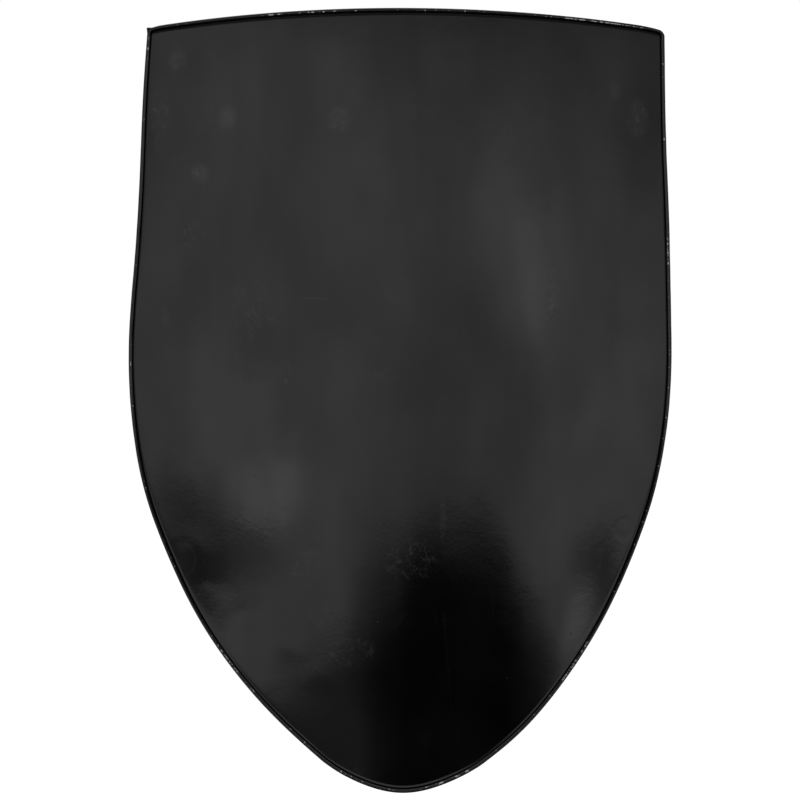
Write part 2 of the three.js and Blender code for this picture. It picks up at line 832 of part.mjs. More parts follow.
// The prong curls round the heel bar and lies on the roller. Its path is in the YZ plane.
function buckleProng() {
  const curl = buckleWireRadius + seatGap + prongRadius;
  const rest = rollerRadius + seatGap + prongRadius;
  const slope = Math.asin((rest - curl) / buckleLength);
  const leave = slope + Math.PI / 2;
  const turn = 2 * Math.PI - prongCurlGap;
  const steps = Math.ceil(turn / bendStep);
  const path = [];
  for (let step = 0; step <= steps; step++) {
    const angle = leave + turn * (1 - step / steps);
    path.push(new THREE.Vector3(0, curl * Math.cos(angle), curl * Math.sin(angle)));
  }
  const ahead = new THREE.Vector3(0, Math.cos(slope), Math.sin(slope));
  const onRoller = Math.sqrt(buckleLength ** 2 - (rest - curl) ** 2);
  const taperAt = onRoller - 2 * prongPastRoller;
  for (const along of [taperAt, onRoller, onRoller + prongPastRoller]) {
    path.push(path[steps].clone().addScaledVector(ahead, along));
  }
  const last = path.length - 1;
  const radiusAt = (i) => prongRadius * (i === last ? prongTipShare : 1);
  return rod(path, new THREE.Vector3(1, 0, 0), radiusAt, rodSides);
}

addPiece(buckle, "buckle_frame", buckleFrame(), "nickelSteel");
addPiece(buckle, "buckle_roller", buckleRoller(), "nickelSteel").position.y = buckleLength;
addPiece(buckle, "buckle_prong", buckleProng(), "nickelSteel");

// Keeper: a rectangular leather ring round the doubled strap and the tail.
function keeper() {
  const halfX = armStrapWidth / 2 + keeperClearance;
  const low = -armStack / 2 - keeperClearance;
  const high = tongueOverHeads + armLeather / 2 + keeperClearance;
  const outer = [halfX + keeperLeather, low - keeperLeather, high + keeperLeather];
  const shape = new THREE.Shape(keeperOutline(...outer, keeperCorner));
  shape.holes.push(new THREE.Path(keeperOutline(halfX, low, high, keeperCorner - keeperLeather)));
  return new THREE.ExtrudeGeometry(shape, { depth: keeperLength, bevelEnabled: false })
    .translate(0, 0, -keeperLength / 2)
    .rotateX(Math.PI / 2);
}

function keeperOutline(halfX, low, high, radius) {
  const middle = (low + high) / 2;
  const corners = [
    [halfX, high, radius],
    [-halfX, high, radius],
    [-halfX, low, radius],
    [halfX, low, radius],
  ];
  return roundedPath([[halfX, middle], ...corners, [halfX, middle]]).slice(0, -1);
}

addPiece(buckleSide, "strap_keeper", keeper(), "strapLeather").position.y = heelBarFromLoop / 2;

// Hand strap

const handStrap = onPlateBack(handStrapX);
addLoops(handStrap, plateGeometry, "hand", handLoopRise, handStrapWidth);
const handRake = Math.atan2(handLoopRise - handArchFlat / 2, handArchHeight - loopBarHeight);
const handUpper = atLoop(handStrap, handLoopRise, handRake);
const handLower = atLoop(handStrap, -handLoopRise, handRake);
const handRivets = { spread: handRivetSpread, leather: handLeather };

function handStrapBand() {
  const handPly = (handLeather + plyGap) / 2;
  const fold = foldCorners(loopRodRadius, handLeather);
  const end = [handShortPly, -handPly];
  const path = roundedPath([
    ...toParent(handUpper, [end, ...fold]),
    [handArchHeight, handArchFlat / 2, handArchRadius],
    [handArchHeight, -handArchFlat / 2, handArchRadius],
    ...toParent(handLower, [...fold.reverse(), end]),
  ]);
  const cutters = [handUpper, handLower].flatMap((frame) => holesInParent(frame, handRivets));
  return cutFrom(band(path, handLeather, () => handStrapWidth / 2), cutters);
}

addPiece(handStrap, "hand_strap", handStrapBand(), "handLeather");
addRivets(handUpper, ["hand_strap_upper_left", "hand_strap_upper_right"], rivetFromLoop, handRivets);
addRivets(handLower, ["hand_strap_lower_left", "hand_strap_lower_right"], rivetFromLoop, handRivets);

export default shield;
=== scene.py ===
import math

import bmesh
import bpy
from mathutils import Matrix, Vector, noise
from mathutils.bvhtree import BVHTree


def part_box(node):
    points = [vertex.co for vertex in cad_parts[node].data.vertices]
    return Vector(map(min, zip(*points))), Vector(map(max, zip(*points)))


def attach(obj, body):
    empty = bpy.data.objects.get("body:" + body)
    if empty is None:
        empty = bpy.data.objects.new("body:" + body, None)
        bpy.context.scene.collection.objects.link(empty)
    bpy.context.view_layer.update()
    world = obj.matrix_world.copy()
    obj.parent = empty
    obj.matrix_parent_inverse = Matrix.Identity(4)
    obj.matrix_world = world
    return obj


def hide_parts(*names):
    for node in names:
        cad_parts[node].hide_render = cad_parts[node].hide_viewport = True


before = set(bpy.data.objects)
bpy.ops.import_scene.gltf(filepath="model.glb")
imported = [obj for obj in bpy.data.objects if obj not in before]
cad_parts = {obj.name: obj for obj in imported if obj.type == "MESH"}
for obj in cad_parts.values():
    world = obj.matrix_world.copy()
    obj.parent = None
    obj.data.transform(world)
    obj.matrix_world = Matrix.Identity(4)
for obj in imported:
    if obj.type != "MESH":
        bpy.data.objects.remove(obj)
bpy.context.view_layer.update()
plateLow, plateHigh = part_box("shield_plate")
plateMiddle = (plateLow + plateHigh) / 2
mm = 0.001
print("frame loaded,", len(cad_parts), "nodes")


def addObject(name, data):
    made = bpy.data.objects.new(name, data)
    bpy.context.scene.collection.objects.link(made)
    return made


def asObject(bm, name):
    mesh = bpy.data.meshes.new(name)
    bm.to_mesh(mesh)
    bm.free()
    return addObject(name, mesh)


# Camera

cameraSetup = {
    "distance": 2.4,  # from the front line of the plate
    "farthest": 60,
    "sensor": 36.0,  # mm
    "imagePixels": 800,
    "shieldPixels": 785.9,  # height of the shield in the photograph
    "liftPixels": 0.4,
}


def addCamera(setup):
    data = bpy.data.cameras.new("camera")
    data.sensor_width = setup["sensor"]
    perMetre = setup["shieldPixels"] / (plateHigh.z - plateLow.z)
    data.lens = setup["sensor"] * perMetre / setup["imagePixels"] * setup["distance"]
    data.clip_end = setup["farthest"]
    camera = addObject("camera", data)
    lift = setup["liftPixels"] / perMetre
    camera.location = (0, plateLow.y - setup["distance"], plateMiddle.z + lift)
    camera.rotation_euler = (math.pi / 2, 0, 0)
    bpy.context.scene.camera = camera


addCamera(cameraSetup)
bpy.context.scene.view_settings.view_transform = "Standard"
print("camera set")


# Shader sums: a Signal is one socket, and a Sheet is the node tree that it lives in

class Signal:
    def __init__(self, sheet, socket):
        self.sheet = sheet
        self.socket = socket

    def maths(self, operation, *others):
        values = dict(enumerate((self, *others)))
        return self.sheet.node("ShaderNodeMath", {"operation": operation}, values)

    def __add__(self, other):
        return self.maths("ADD", other)

    def __sub__(self, other):
        return self.maths("SUBTRACT", other)

    def __rsub__(self, other):
        return self.maths("MULTIPLY", -1).maths("ADD", other)

    def __mul__(self, other):
        return self.maths("MULTIPLY", other)

    def __truediv__(self, other):
        return self.maths("DIVIDE", other)

    def __pow__(self, other):
        return self.maths("POWER", other)

    __radd__, __rmul__ = __add__, __mul__

    def between(self, low, high):
        # 0 at low and 1 at high, eased at both ends
        settings = {"interpolation_type": "SMOOTHSTEP"}
        values = {"Value": self, "From Min": low, "From Max": high}
        return self.sheet.node("ShaderNodeMapRange", settings, values)

    def blend(self, share, other):
        # this value where share is 0, the other where it is 1
        return self.sheet.node("ShaderNodeMix", {}, {0: share, 2: self, 3: other})

    def split(self):
        node = self.sheet.node("ShaderNodeSeparateXYZ", {}, {0: self}, output=None)
        return [Signal(self.sheet, socket) for socket in node.outputs]

    def scaled(self, x, y, z):
        return self.sheet.node("ShaderNodeMapping", {}, {"Vector": self, "Scale": (x, y, z)})


class Sheet:
    def __init__(self, tree):
        self.tree = tree

    def node(self, kind, settings, values, output=0):
        node = self.tree.nodes.new(kind)
        for name, value in settings.items():
            setattr(node, name, value)
        for name, value in values.items():
            socket = node.inputs[name]
            if isinstance(value, Signal):
                self.tree.links.new(value.socket, socket)
            else:
                socket.default_value = value
        return node if output is None else Signal(self, node.outputs[output])

    def coordinates(self, name="Object"):
        return self.node("ShaderNodeTexCoord", {}, {}, output=name)

    def noise(self, place, size, detail=2.0, roughness=0.5):
        # size is the width of one blot, in metres
        values = {"Vector": place, "Scale": 1 / size, "Detail": detail, "Roughness": roughness}
        return self.node("ShaderNodeTexNoise", {}, values)

    def cells(self, place, size, feature="F1"):
        values = {"Vector": place, "Scale": 1 / size}
        return self.node("ShaderNodeTexVoronoi", {"feature": feature}, values)

    def mix(self, share, first, second):
        values = {0: share, 6: first, 7: second}
        return self.node("ShaderNodeMix", {"data_type": "RGBA"}, values, output=2)

    def bump(self, height, distance, under=None):
        values = {"Height": height, "Distance": distance, "Strength": 1.0}
        if under is not None:
            values["Normal"] = under
        return self.node("ShaderNodeBump", {}, values)

    def rays(self, *kinds):
        # 1 for a ray of any of these kinds
        path = self.node("ShaderNodeLightPath", {}, {}, output=None)
        share, *others = [Signal(self, path.outputs["Is " + kind + " Ray"]) for kind in kinds]
        for other in others:
            share = share.maths("MAXIMUM", other)
        return share


def grey(tone):
    return (tone, tone, tone, 1)


def newMaterial(name, values, build):
    # values go to the shader's own sockets, and build returns what is linked
    material = bpy.data.materials.new(name)
    material.use_nodes = True
    sheet = Sheet(material.node_tree)
    shader = material.node_tree.nodes["Principled BSDF"]
    for socket, value in values.items():
        shader.inputs[socket].default_value = value
    for socket, signal in build(sheet).items():
        sheet.tree.links.new(signal.socket, shader.inputs[socket])
    return material


# Floor, world and lamps

stageSetup = {
    "floorDrop": 0.62,  # the shield hangs this far above the floor
    "floorSize": 60.0,
    "floorTone": 0.8,
    "floorRoughness": 0.9,
    "floorGlow": 0.55,
    "ambient": 0.62,
}


def area(across, up, halfWidth, halfHeight, **more):
    return {"at": (across, up), "size": (halfWidth, halfHeight), **more}


# What the gloss reflects in front of the shield: soft panels and dark gaps of the studio, by
# azimuth and elevation in degrees, with the change of tone as a share. A panel can lean, have
# a boxy outline, and a softer or a sharper edge.
studioPatches = [
    area(11.5, -9.8, 17.5, 6.3, tone=-0.93, boxy=True, soft=1),
    area(12, -5.9, 11, 3.4, tone=-0.96, boxy=True, soft=1),
    area(21, -4.4, 5, 0.65, tone=-0.75, boxy=True, soft=0.5),
    area(27.5, -7, 8.5, 2.9, lean=-10, tone=-0.78, boxy=True, soft=1),
    area(-2, -4.5, 9, 1.7, lean=4, tone=-0.64, soft=1),
    area(-17.5, -9.8, 24, 4.4, lean=3, tone=-0.77, boxy=True, soft=0.8),
    area(-58, -2.4, 17, 0.8, tone=-0.61, soft=1),
    area(-43, -3.3, 16, 0.75, tone=-0.71, soft=1),
    area(-41.5, -3.4, 4, 0.55, tone=-0.54, soft=1),
    area(51, -3.3, 13, 0.75, tone=-0.72, soft=0.8),
    area(-28.5, -1.9, 8.5, 0.7, tone=0.71, soft=1),
    area(-37, -4.6, 5, 0.5, tone=0.2),
    area(38, -4.7, 4, 0.5, lean=6, tone=0.67),
    area(27, 3.7, 9.5, 2.4, lean=-5, tone=0.35, soft=1),
    area(27.5, 3.1, 4, 1.3, lean=-10, tone=0.18, soft=1),
    area(11, 10.3, 73, 2.4, tone=-0.46),
    area(42.5, 7.9, 40.5, 3.1, tone=-0.29, soft=1),
    area(59, 6.1, 10.5, 3.1, tone=-0.25),
    area(-64, 5.6, 14, 2.7, tone=-0.33),
    area(13.5, -0.2, 15, 3.1, tone=-0.18, soft=0.5),
    area(44, -0.8, 11, 1.5, lean=10, tone=0.16),
    area(-42, -0.1, 13.5, 1.3, tone=0.28, soft=1),
    area(-16, -1.1, 8, 2, lean=6, tone=0.12, soft=1),
    area(-9, 4.6, 9, 1.9, lean=-10, tone=0.17, soft=1),
    area(-36.5, 5.6, 9, 1.5, lean=3, tone=0.12),
    area(-55, -0.5, 12, 2, tone=-0.16),
]
# Bands away from what the face mirrors, as elevations where a band begins and is full, and its
# tone: they shade the bead, the gutter behind it and the back
studioBands = [
    {"from": (9.5, 13), "tone": 0.12, "ahead": True},
    {"from": (38, 50), "tone": 1.0, "ahead": False},
    {"from": (-12.5, -16), "tone": 0.8, "ahead": True},
    {"from": (-28, -38), "tone": 0.03, "ahead": True},
    {"from": (-45, -60), "tone": 0.03, "ahead": False},
]
studioTones = {
    "wall": 0.74,
    "wing": {"tone": 0.2, "from": (60, 70)},  # darker, beside the shield
    "backdrop": {"tone": 1.0, "from": (140, 158)},
    "ahead": (80, 100),  # degrees aside, where the bands ahead of the shield fade
    "cloud": 0.55,
    "cloudSize": (12, 1.3),  # degrees
    "clouds": {"size": 1, "detail": 5, "roughness": 0.62},
    "ripple": (2.6, 0.4),  # how far the patches' edges are bent, in degrees
    "ripples": {"size": 0.8, "detail": 3, "roughness": 0.6},
}


def addFloor(setup):
    bm = bmesh.new()
    bmesh.ops.create_grid(bm, x_segments=1, y_segments=1, size=setup["floorSize"] / 2)
    bmesh.ops.translate(bm, verts=bm.verts, vec=(0, 0, plateLow.z - setup["floorDrop"]))
    floor = asObject(bm, "floor")

    def build(sheet):
        shown = sheet.rays("Camera", "Glossy", "Transmission")
        return {"Emission Color": sheet.mix(shown, grey(0), grey(setup["floorGlow"]))}

    values = {"Base Color": grey(setup["floorTone"]), "Roughness": setup["floorRoughness"],
              "Emission Strength": 1.0, "Specular IOR Level": 0.0}
    floor.data.materials.append(newMaterial("floor_paper", values, build))
    floor.visible_glossy = False


def addWorld(setup, tones, patches, bands):
    world = bpy.data.worlds.new("studio")
    world.use_nodes = True
    bpy.context.scene.world = world
    sheet = Sheet(world.node_tree)
    background = world.node_tree.nodes["Background"]
    towards = sheet.coordinates("Generated")
    x, y, z = towards.split()
    toDegrees = 180 / math.pi
    azimuth = x.maths("ARCTAN2", y * -1) * toDegrees
    elevation = z.maths("ARCSINE") * toDegrees
    wide, high = tones["cloudSize"]
    places = {0: azimuth * (1 / wide), 1: elevation * (1 / high), 2: 0.0}
    place = sheet.node("ShaderNodeCombineXYZ", {}, places)
    cloud = sheet.noise(place, **tones["clouds"]) - 0.5
    ripple = sheet.noise(place, **tones["ripples"]) - 0.5
    rippleAcross, rippleUp = tones["ripple"]
    bentAzimuth = azimuth + ripple * (2 * rippleAcross)
    bentElevation = elevation + ripple * (2 * rippleUp)
    tone = cloud * (2 * tones["cloud"] * tones["wall"]) + tones["wall"]
    for patch in patches:
        (atAzimuth, atElevation), (width, height) = patch["at"], patch["size"]
        climb = math.sin(math.radians(patch.get("lean", 0))) * width / height
        # a leaning patch is sheared, so that it climbs as it goes across
        across = (bentAzimuth - atAzimuth) / width
        up = (bentElevation - atElevation) / height - across * climb
        across, up = across * across, up * up
        reach = across * across + up * up if patch.get("boxy") else across + up
        soft = patch.get("soft", 0.7)
        tone = tone * (1 + patch["tone"] * (1 - reach.between(1 - soft, 1 + soft)))
    side = azimuth.maths("ABSOLUTE")
    for zone in (tones["wing"], tones["backdrop"]):
        tone = tone.blend(side.between(*zone["from"]), zone["tone"])
    ahead = 1 - side.between(*tones["ahead"])
    for band in bands:
        share = elevation.between(*band["from"])
        tone = tone.blend(share * ahead if band["ahead"] else share, band["tone"])
    mirrored, seen = sheet.rays("Glossy", "Transmission"), sheet.rays("Camera")
    strength = setup["ambient"] + mirrored * (tone - setup["ambient"])
    strength = strength + seen * (1 - strength)
    world.node_tree.links.new(strength.socket, background.inputs["Strength"])
    background.inputs["Color"].default_value = grey(1)


lamps = {
    "key": {"at": (-1.7, -2.1, 2.1), "size": 1.4, "power": 26, "mirrored": False},
    "fill": {"at": (2.2, -1.6, 1.7), "size": 1.4, "power": 12, "mirrored": False},
    "back": {"at": (0.9, 2.4, 1.6), "size": 1.6, "power": 26, "mirrored": True},
}


def addLamps(setups):
    for name, setup in setups.items():
        data = bpy.data.lights.new(name, "AREA")
        data.energy = setup["power"]
        data.size = setup["size"]
        lamp = addObject(name, data)
        lamp.location = setup["at"]
        lamp.visible_glossy = setup["mirrored"]
        lamp.rotation_euler = (plateMiddle - lamp.location).to_track_quat("-Z", "Y").to_euler()


addFloor(stageSetup)
addWorld(stageSetup, studioTones, studioPatches, studioBands)
addLamps(lamps)
print("floor, world and lamps set")


# Mesh helpers

def finishPiece(name, bm, material, body="shield", replaced=None, sharp=40):
    # in place of the nodes that are named, or else of the node of its own name
    replaced = replaced or [name]
    for face in bm.faces:
        face.smooth = True
    for edge in bm.edges:
        if edge.is_manifold and edge.calc_face_angle(0) > math.radians(sharp):
            edge.smooth = False
    piece = asObject(bm, name)
    piece.data.materials.append(material)
    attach(piece, body)
    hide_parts(*replaced)
    return piece


def mergedCopy(node):
    # the CAD node's triangles, joined at their corners and back into quads
    bm = bmesh.new()
    bm.from_mesh(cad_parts[node].data)
    bmesh.ops.remove_doubles(bm, verts=bm.verts, dist=0.01 * mm)
    bmesh.ops.join_triangles(bm, faces=bm.faces, angle_face_threshold=math.pi,
                             angle_shape_threshold=math.pi)
    return bm


def applied(rough, helpers=()):
    # the mesh of an object with its modifiers applied, in place of the object and its helpers
    bm = bmesh.new()
    bm.from_object(rough, bpy.context.evaluated_depsgraph_get())
    for spent in (rough, *helpers):
        mesh = spent.data
        bpy.data.objects.remove(spent)
        bpy.data.meshes.remove(mesh)
    return bm


def subdivided(bm, levels):
    coarse = asObject(bm, "coarse")
    modifier = coarse.modifiers.new("smoother", "SUBSURF")
    modifier.levels = modifier.render_levels = levels
    return applied(coarse)


def cutOut(bm, cutters):
    solid = asObject(bm, "uncut")
    helpers = [asObject(cutter, "cutter") for cutter in cutters]
    for helper in helpers:
        modifier = solid.modifiers.new("cut", "BOOLEAN")
        modifier.operation = "DIFFERENCE"
        modifier.solver = "EXACT"
        modifier.object = helper
    return applied(solid, helpers)


def route(corners, bendStep=7, longest=4 * mm):
    # points of a flat route whose corners (u, v, radius) are rounded by arcs
    points = []

    def add(point):
        if points and (point - points[-1]).length < 0.02 * mm:
            return
        if points:
            last, gap = points[-1], point - points[-1]
            parts = max(1, math.ceil(gap.length / longest))
            points.extend([last + gap * part / parts for part in range(1, parts)])
        points.append(point)

    for i, (u, v, *radius) in enumerate(corners):
        here = Vector((u, v))
        if not radius or i in (0, len(corners) - 1):
            add(here)
            continue
        back = (Vector(corners[i - 1][:2]) - here).normalized()
        ahead = (Vector(corners[i + 1][:2]) - here).normalized()
        half = back.angle(ahead) / 2
        centre = here + (back + ahead).normalized() * radius[0] / math.sin(half)
        turn = math.copysign(math.pi - 2 * half, ahead.cross(back))
        spoke = here + back * radius[0] / math.tan(half) - centre
        steps = max(2, math.ceil(abs(turn) / math.radians(bendStep)))
        for step in range(steps + 1):
            add(centre + Matrix.Rotation(turn * step / steps, 2) @ spoke)
    return points


def frameAlong(points, k, closed):
    last = len(points) - 1
    before = points[k - 1] if closed or k else points[0]
    after = points[(k + 1) % len(points)] if closed else points[min(k + 1, last)]
    tangent = (after - before).normalized()
    # columns: across the route, along its normal, along its tangent
    matrix = Matrix.Identity(4)
    matrix[0][:] = (1, 0, 0, 0)
    matrix[1][:] = (0, -tangent.y, tangent.x, points[k].x)
    matrix[2][:] = (0, tangent.x, tangent.y, points[k].y)
    return matrix


def swept(outline, points, closed=False, scaleAt=None, scaleBoth=False):
    # extrudes an outline of (across, out) points along a route in the YZ plane
    bm = bmesh.new()
    ring = [bm.verts.new((across, out, 0)) for across, out in outline]
    edges = [bm.edges.new((ring[i - 1], ring[i])) for i in range(len(ring))]
    placed = Matrix.Identity(4)
    firstEdges = edges
    for k in range(len(points)):
        scale = scaleAt(k) if scaleAt else 1
        shape = Matrix.Diagonal((scale, scale if scaleBoth else 1, 1, 1))
        target = frameAlong(points, k, closed) @ shape
        if k:
            made = bmesh.ops.extrude_edge_only(bm, edges=edges)["geom"]
            ring = [v for v in made if isinstance(v, bmesh.types.BMVert)]
            edges = [e for e in made if isinstance(e, bmesh.types.BMEdge)]
            edges = [e for e in edges if e.verts[0] in ring and e.verts[1] in ring]
        bmesh.ops.transform(bm, matrix=target @ placed.inverted(), verts=ring)
        placed = target
    if closed:
        bmesh.ops.bridge_loops(bm, edges=firstEdges + edges)
    else:
        bmesh.ops.contextual_create(bm, geom=firstEdges)
        bmesh.ops.contextual_create(bm, geom=edges)
    bmesh.ops.recalc_face_normals(bm, faces=bm.faces)
    return bm


def circle(radius, sides):
    angles = [2 * math.pi * k / sides for k in range(sides)]
    return [(radius * math.cos(angle), radius * math.sin(angle)) for angle in angles]


def turned(profile, sides=28):
    # spins a profile of (radius, height) points round Z
    bm = bmesh.new()
    verts = [bm.verts.new((radius, 0, height)) for radius, height in profile]
    edges = [bm.edges.new(pair) for pair in zip(verts, verts[1:])]
    bmesh.ops.spin(bm, geom=verts + edges, cent=(0, 0, 0), axis=(0, 0, 1), angle=2 * math.pi,
                   steps=sides, use_merge=True)
    bmesh.ops.remove_doubles(bm, verts=bm.verts, dist=0.005 * mm)
    bmesh.ops.recalc_face_normals(bm, faces=bm.faces)
    return bm


def placed(bm, matrix):
    bmesh.ops.transform(bm, matrix=matrix, verts=bm.verts)
    return bm


# Paint

plateForm = {
    "curve": 550 * mm,  # radius of the middle of the sheet
    "sheet": 1 * mm,
    "armBehind": 56 * mm,  # from the back of the sheet to the origin
}
curveAxisY = plateForm["curve"] - plateForm["armBehind"] - plateForm["sheet"] / 2

# Marks that show one by one on the face, as (x, z) from the middle of the plate, in mm
hairlines = [
    {"from": (39, -183), "to": (47, -289), "width": 0.7, "strength": 0.1},
    {"from": (82, -169), "to": (85, -199), "width": 0.6, "strength": 0.08},
    {"from": (47, 178), "to": (80, 175), "width": 0.4},
    {"from": (-87, 93), "to": (-64, 92), "width": 0.5},
    {"from": (-39, 208), "to": (-22, 208), "width": 0.4},
    {"from": (-198, -128), "to": (-190, -138), "width": 1.5, "strength": 0.07},
    {"from": (-190.5, -136), "to": (-187, -147), "width": 1.5, "strength": 0.07},
    {"from": (-187, -145), "to": (-190.5, -157), "width": 1.5, "strength": 0.07},
    {"from": (-190, -155), "to": (-198, -163), "width": 1.5, "strength": 0.07},
]
rubbedPlaces = [
    area(-174, 256, 9, 11),
    area(-55, 255, 11, 12, smear=0.6),
    area(-182, 206, 9, 9),
    area(133, 91, 16, 30),
    area(-104, 25, 8, 12),
    area(-14, 22, 12, 8),
    area(-146, 35, 4, 24),
    area(-84, -150, 20, 14),
    area(-66, -196, 24, 12),
    area(2, -356, 12, 5),
    area(-221, 263, 10, 36, smear=0.3),
    area(-190, 145, 12, 22),
    area(-157, 258, 9, 11, smear=1),
    area(-183, 208, 9, 9, smear=0.9),
    area(-205, 315, 9, 12, smear=0.7),
    area(219, 258, 10, 20, smear=0.6),
    area(197, 283, 6, 9, smear=0.6),
    area(39, -106, 3, 22, smear=0.5),
    area(-134, 83, 20, 30),
    area(-216, 70, 6, 18),
    area(0, 100, 16, 12),
    area(129, 101, 20, 26),
    area(8, -144, 26, 20),
    area(-45, -226, 26, 14),
]
dings = [
    area(94, -195, 6.5, 6.5, depth=0.9),
    area(52, -240, 7, 7, depth=0.9),
    area(-185, 204, 8, 8, depth=-0.8),
    area(-221, 282, 4, 4, depth=1.2),
    area(-60, 262, 9, 9, depth=-0.6),
    area(8, -202, 8, 8, depth=-0.9),
    area(-199, -143, 15, 15, depth=1.4),
    area(206, -118, 10, 10, depth=1.1),
]
# Stretches of the rim worn to bright steel along the crest of the bead
wornRim = [
    area(183, 343, 44, 12, worn=1),
    area(243, 138, 12, 18, worn=0.8),
    area(160, -245, 24, 34, worn=0.75),
    area(-162, -245, 20, 26, worn=0.75),
    area(50, -346, 30, 12, worn=0.6),
    area(-96, 351, 34, 10, worn=0.7),
    area(-222, 325, 40, 16, worn=0.55),
]
paintSetup = {
    "tone": 0.0009,
    # tone of the paler haze: partly dust in the coat, partly a painted reflection of the studio's
    # clouds
    "hazeAndSheen": 0.0028,
    "roughness": 0.06,
    "rubbedTone": 0.034,
    "rubbedRoughness": 0.2,
    "smearTone": 0.016,  # of the paler smears in some of the rubbed places
    "chipTone": 0.62,
    "chipRoughness": 0.25,
    "orangePeel": 2.6 * mm,
    "orangePeelHeight": 0.006 * mm,
    # heights and depths as shares of the orange peel's
    "pools": 3,
    "nibs": 5,
    "marks": 1.5,
    "chips": 4,
    "dings": 1.6,
}
# Short strokes lie along a slope, are stretched along it and wander
strokeForm = {"slope": 0.5, "squeeze": 0.16, "wander": 5 * mm}
# A smear is a rubbed place pushed out of shape, with a wide soft edge
smearForm = {"wander": 0.9, "shift": 2.2 * mm, "rise": 9 * mm, "edge": (-0.5, 2.2)}
# The gutter between bead and face, whose inner side eases into the face
gutterForm = {"sag": 0.145 * mm, "from": 0.5 * mm, "to": 3.6 * mm}
# Where paint chips: beyond the face, and how far the surface turns outwards
crestForm = {"beyond": (1.6 * mm, 1.9 * mm), "inner": (-0.75, -0.5), "outer": (-0.12, 0.12)}


def reachFrom(x, z, spot):
    # squared distance from a spot's middle, as a share of its half size
    (x0, z0), (width, height) = spot["at"], spot["size"]
    across, up = (x - x0 * mm) * (1000 / width), (z - z0 * mm) * (1000 / height)
    return across * across + up * up


def placeMask(x, z, spot, edge=(0.25, 1.5)):
    return 1 - reachFrom(x, z, spot).between(*edge)


def dingHeight(x, z, ding):
    # a shallow dent with a raised lip
    reach = reachFrom(x, z, ding) ** 0.5
    return (reach.between(0, 0.9) - reach.between(0.8, 1.3)) * ding["depth"]


def hairlineMask(x, z, line):
    (x0, z0), (x1, z1) = [(a * mm, b * mm) for a, b in (line["from"], line["to"])]
    length = math.hypot(x1 - x0, z1 - z0)
    ux, uz = (x1 - x0) / length, (z1 - z0) / length
    along = (x - x0) * ux + (z - z0) * uz
    aside = ((x - x0) * uz - (z - z0) * ux).maths("ABSOLUTE")
    half = line["width"] * mm / 2
    inside = along.between(0, length * 0.1) * (1 - along.between(length * 0.9, length))
    return inside * (1 - aside.between(half * 0.4, half))


def chippedCrest(sheet, place, x, z, beyond):
    # bare steel on the bead's crest and its inner side, most of all along the worn stretches
    nx, ny, nz = sheet.node("ShaderNodeNewGeometry", {}, {}, output="Normal").split()
    outward = (nx * x + nz * z) / (x * x + z * z) ** 0.5
    crest = beyond.between(*crestForm["beyond"]) * outward.between(*crestForm["inner"])
    crest = crest * (1 - outward.between(*crestForm["outer"]))
    wear = sheet.noise(place, 60 * mm, detail=2).between(0.52, 0.7) * 0.3
    for spot in wornRim:
        wear = wear + placeMask(x, z, spot) * spot["worn"]
    wear = wear.maths("MINIMUM", 1) * 0.14
    flakes = sheet.noise(place, 4 * mm, detail=4, roughness=0.7) + wear
    return flakes.between(0.62, 0.67) * crest


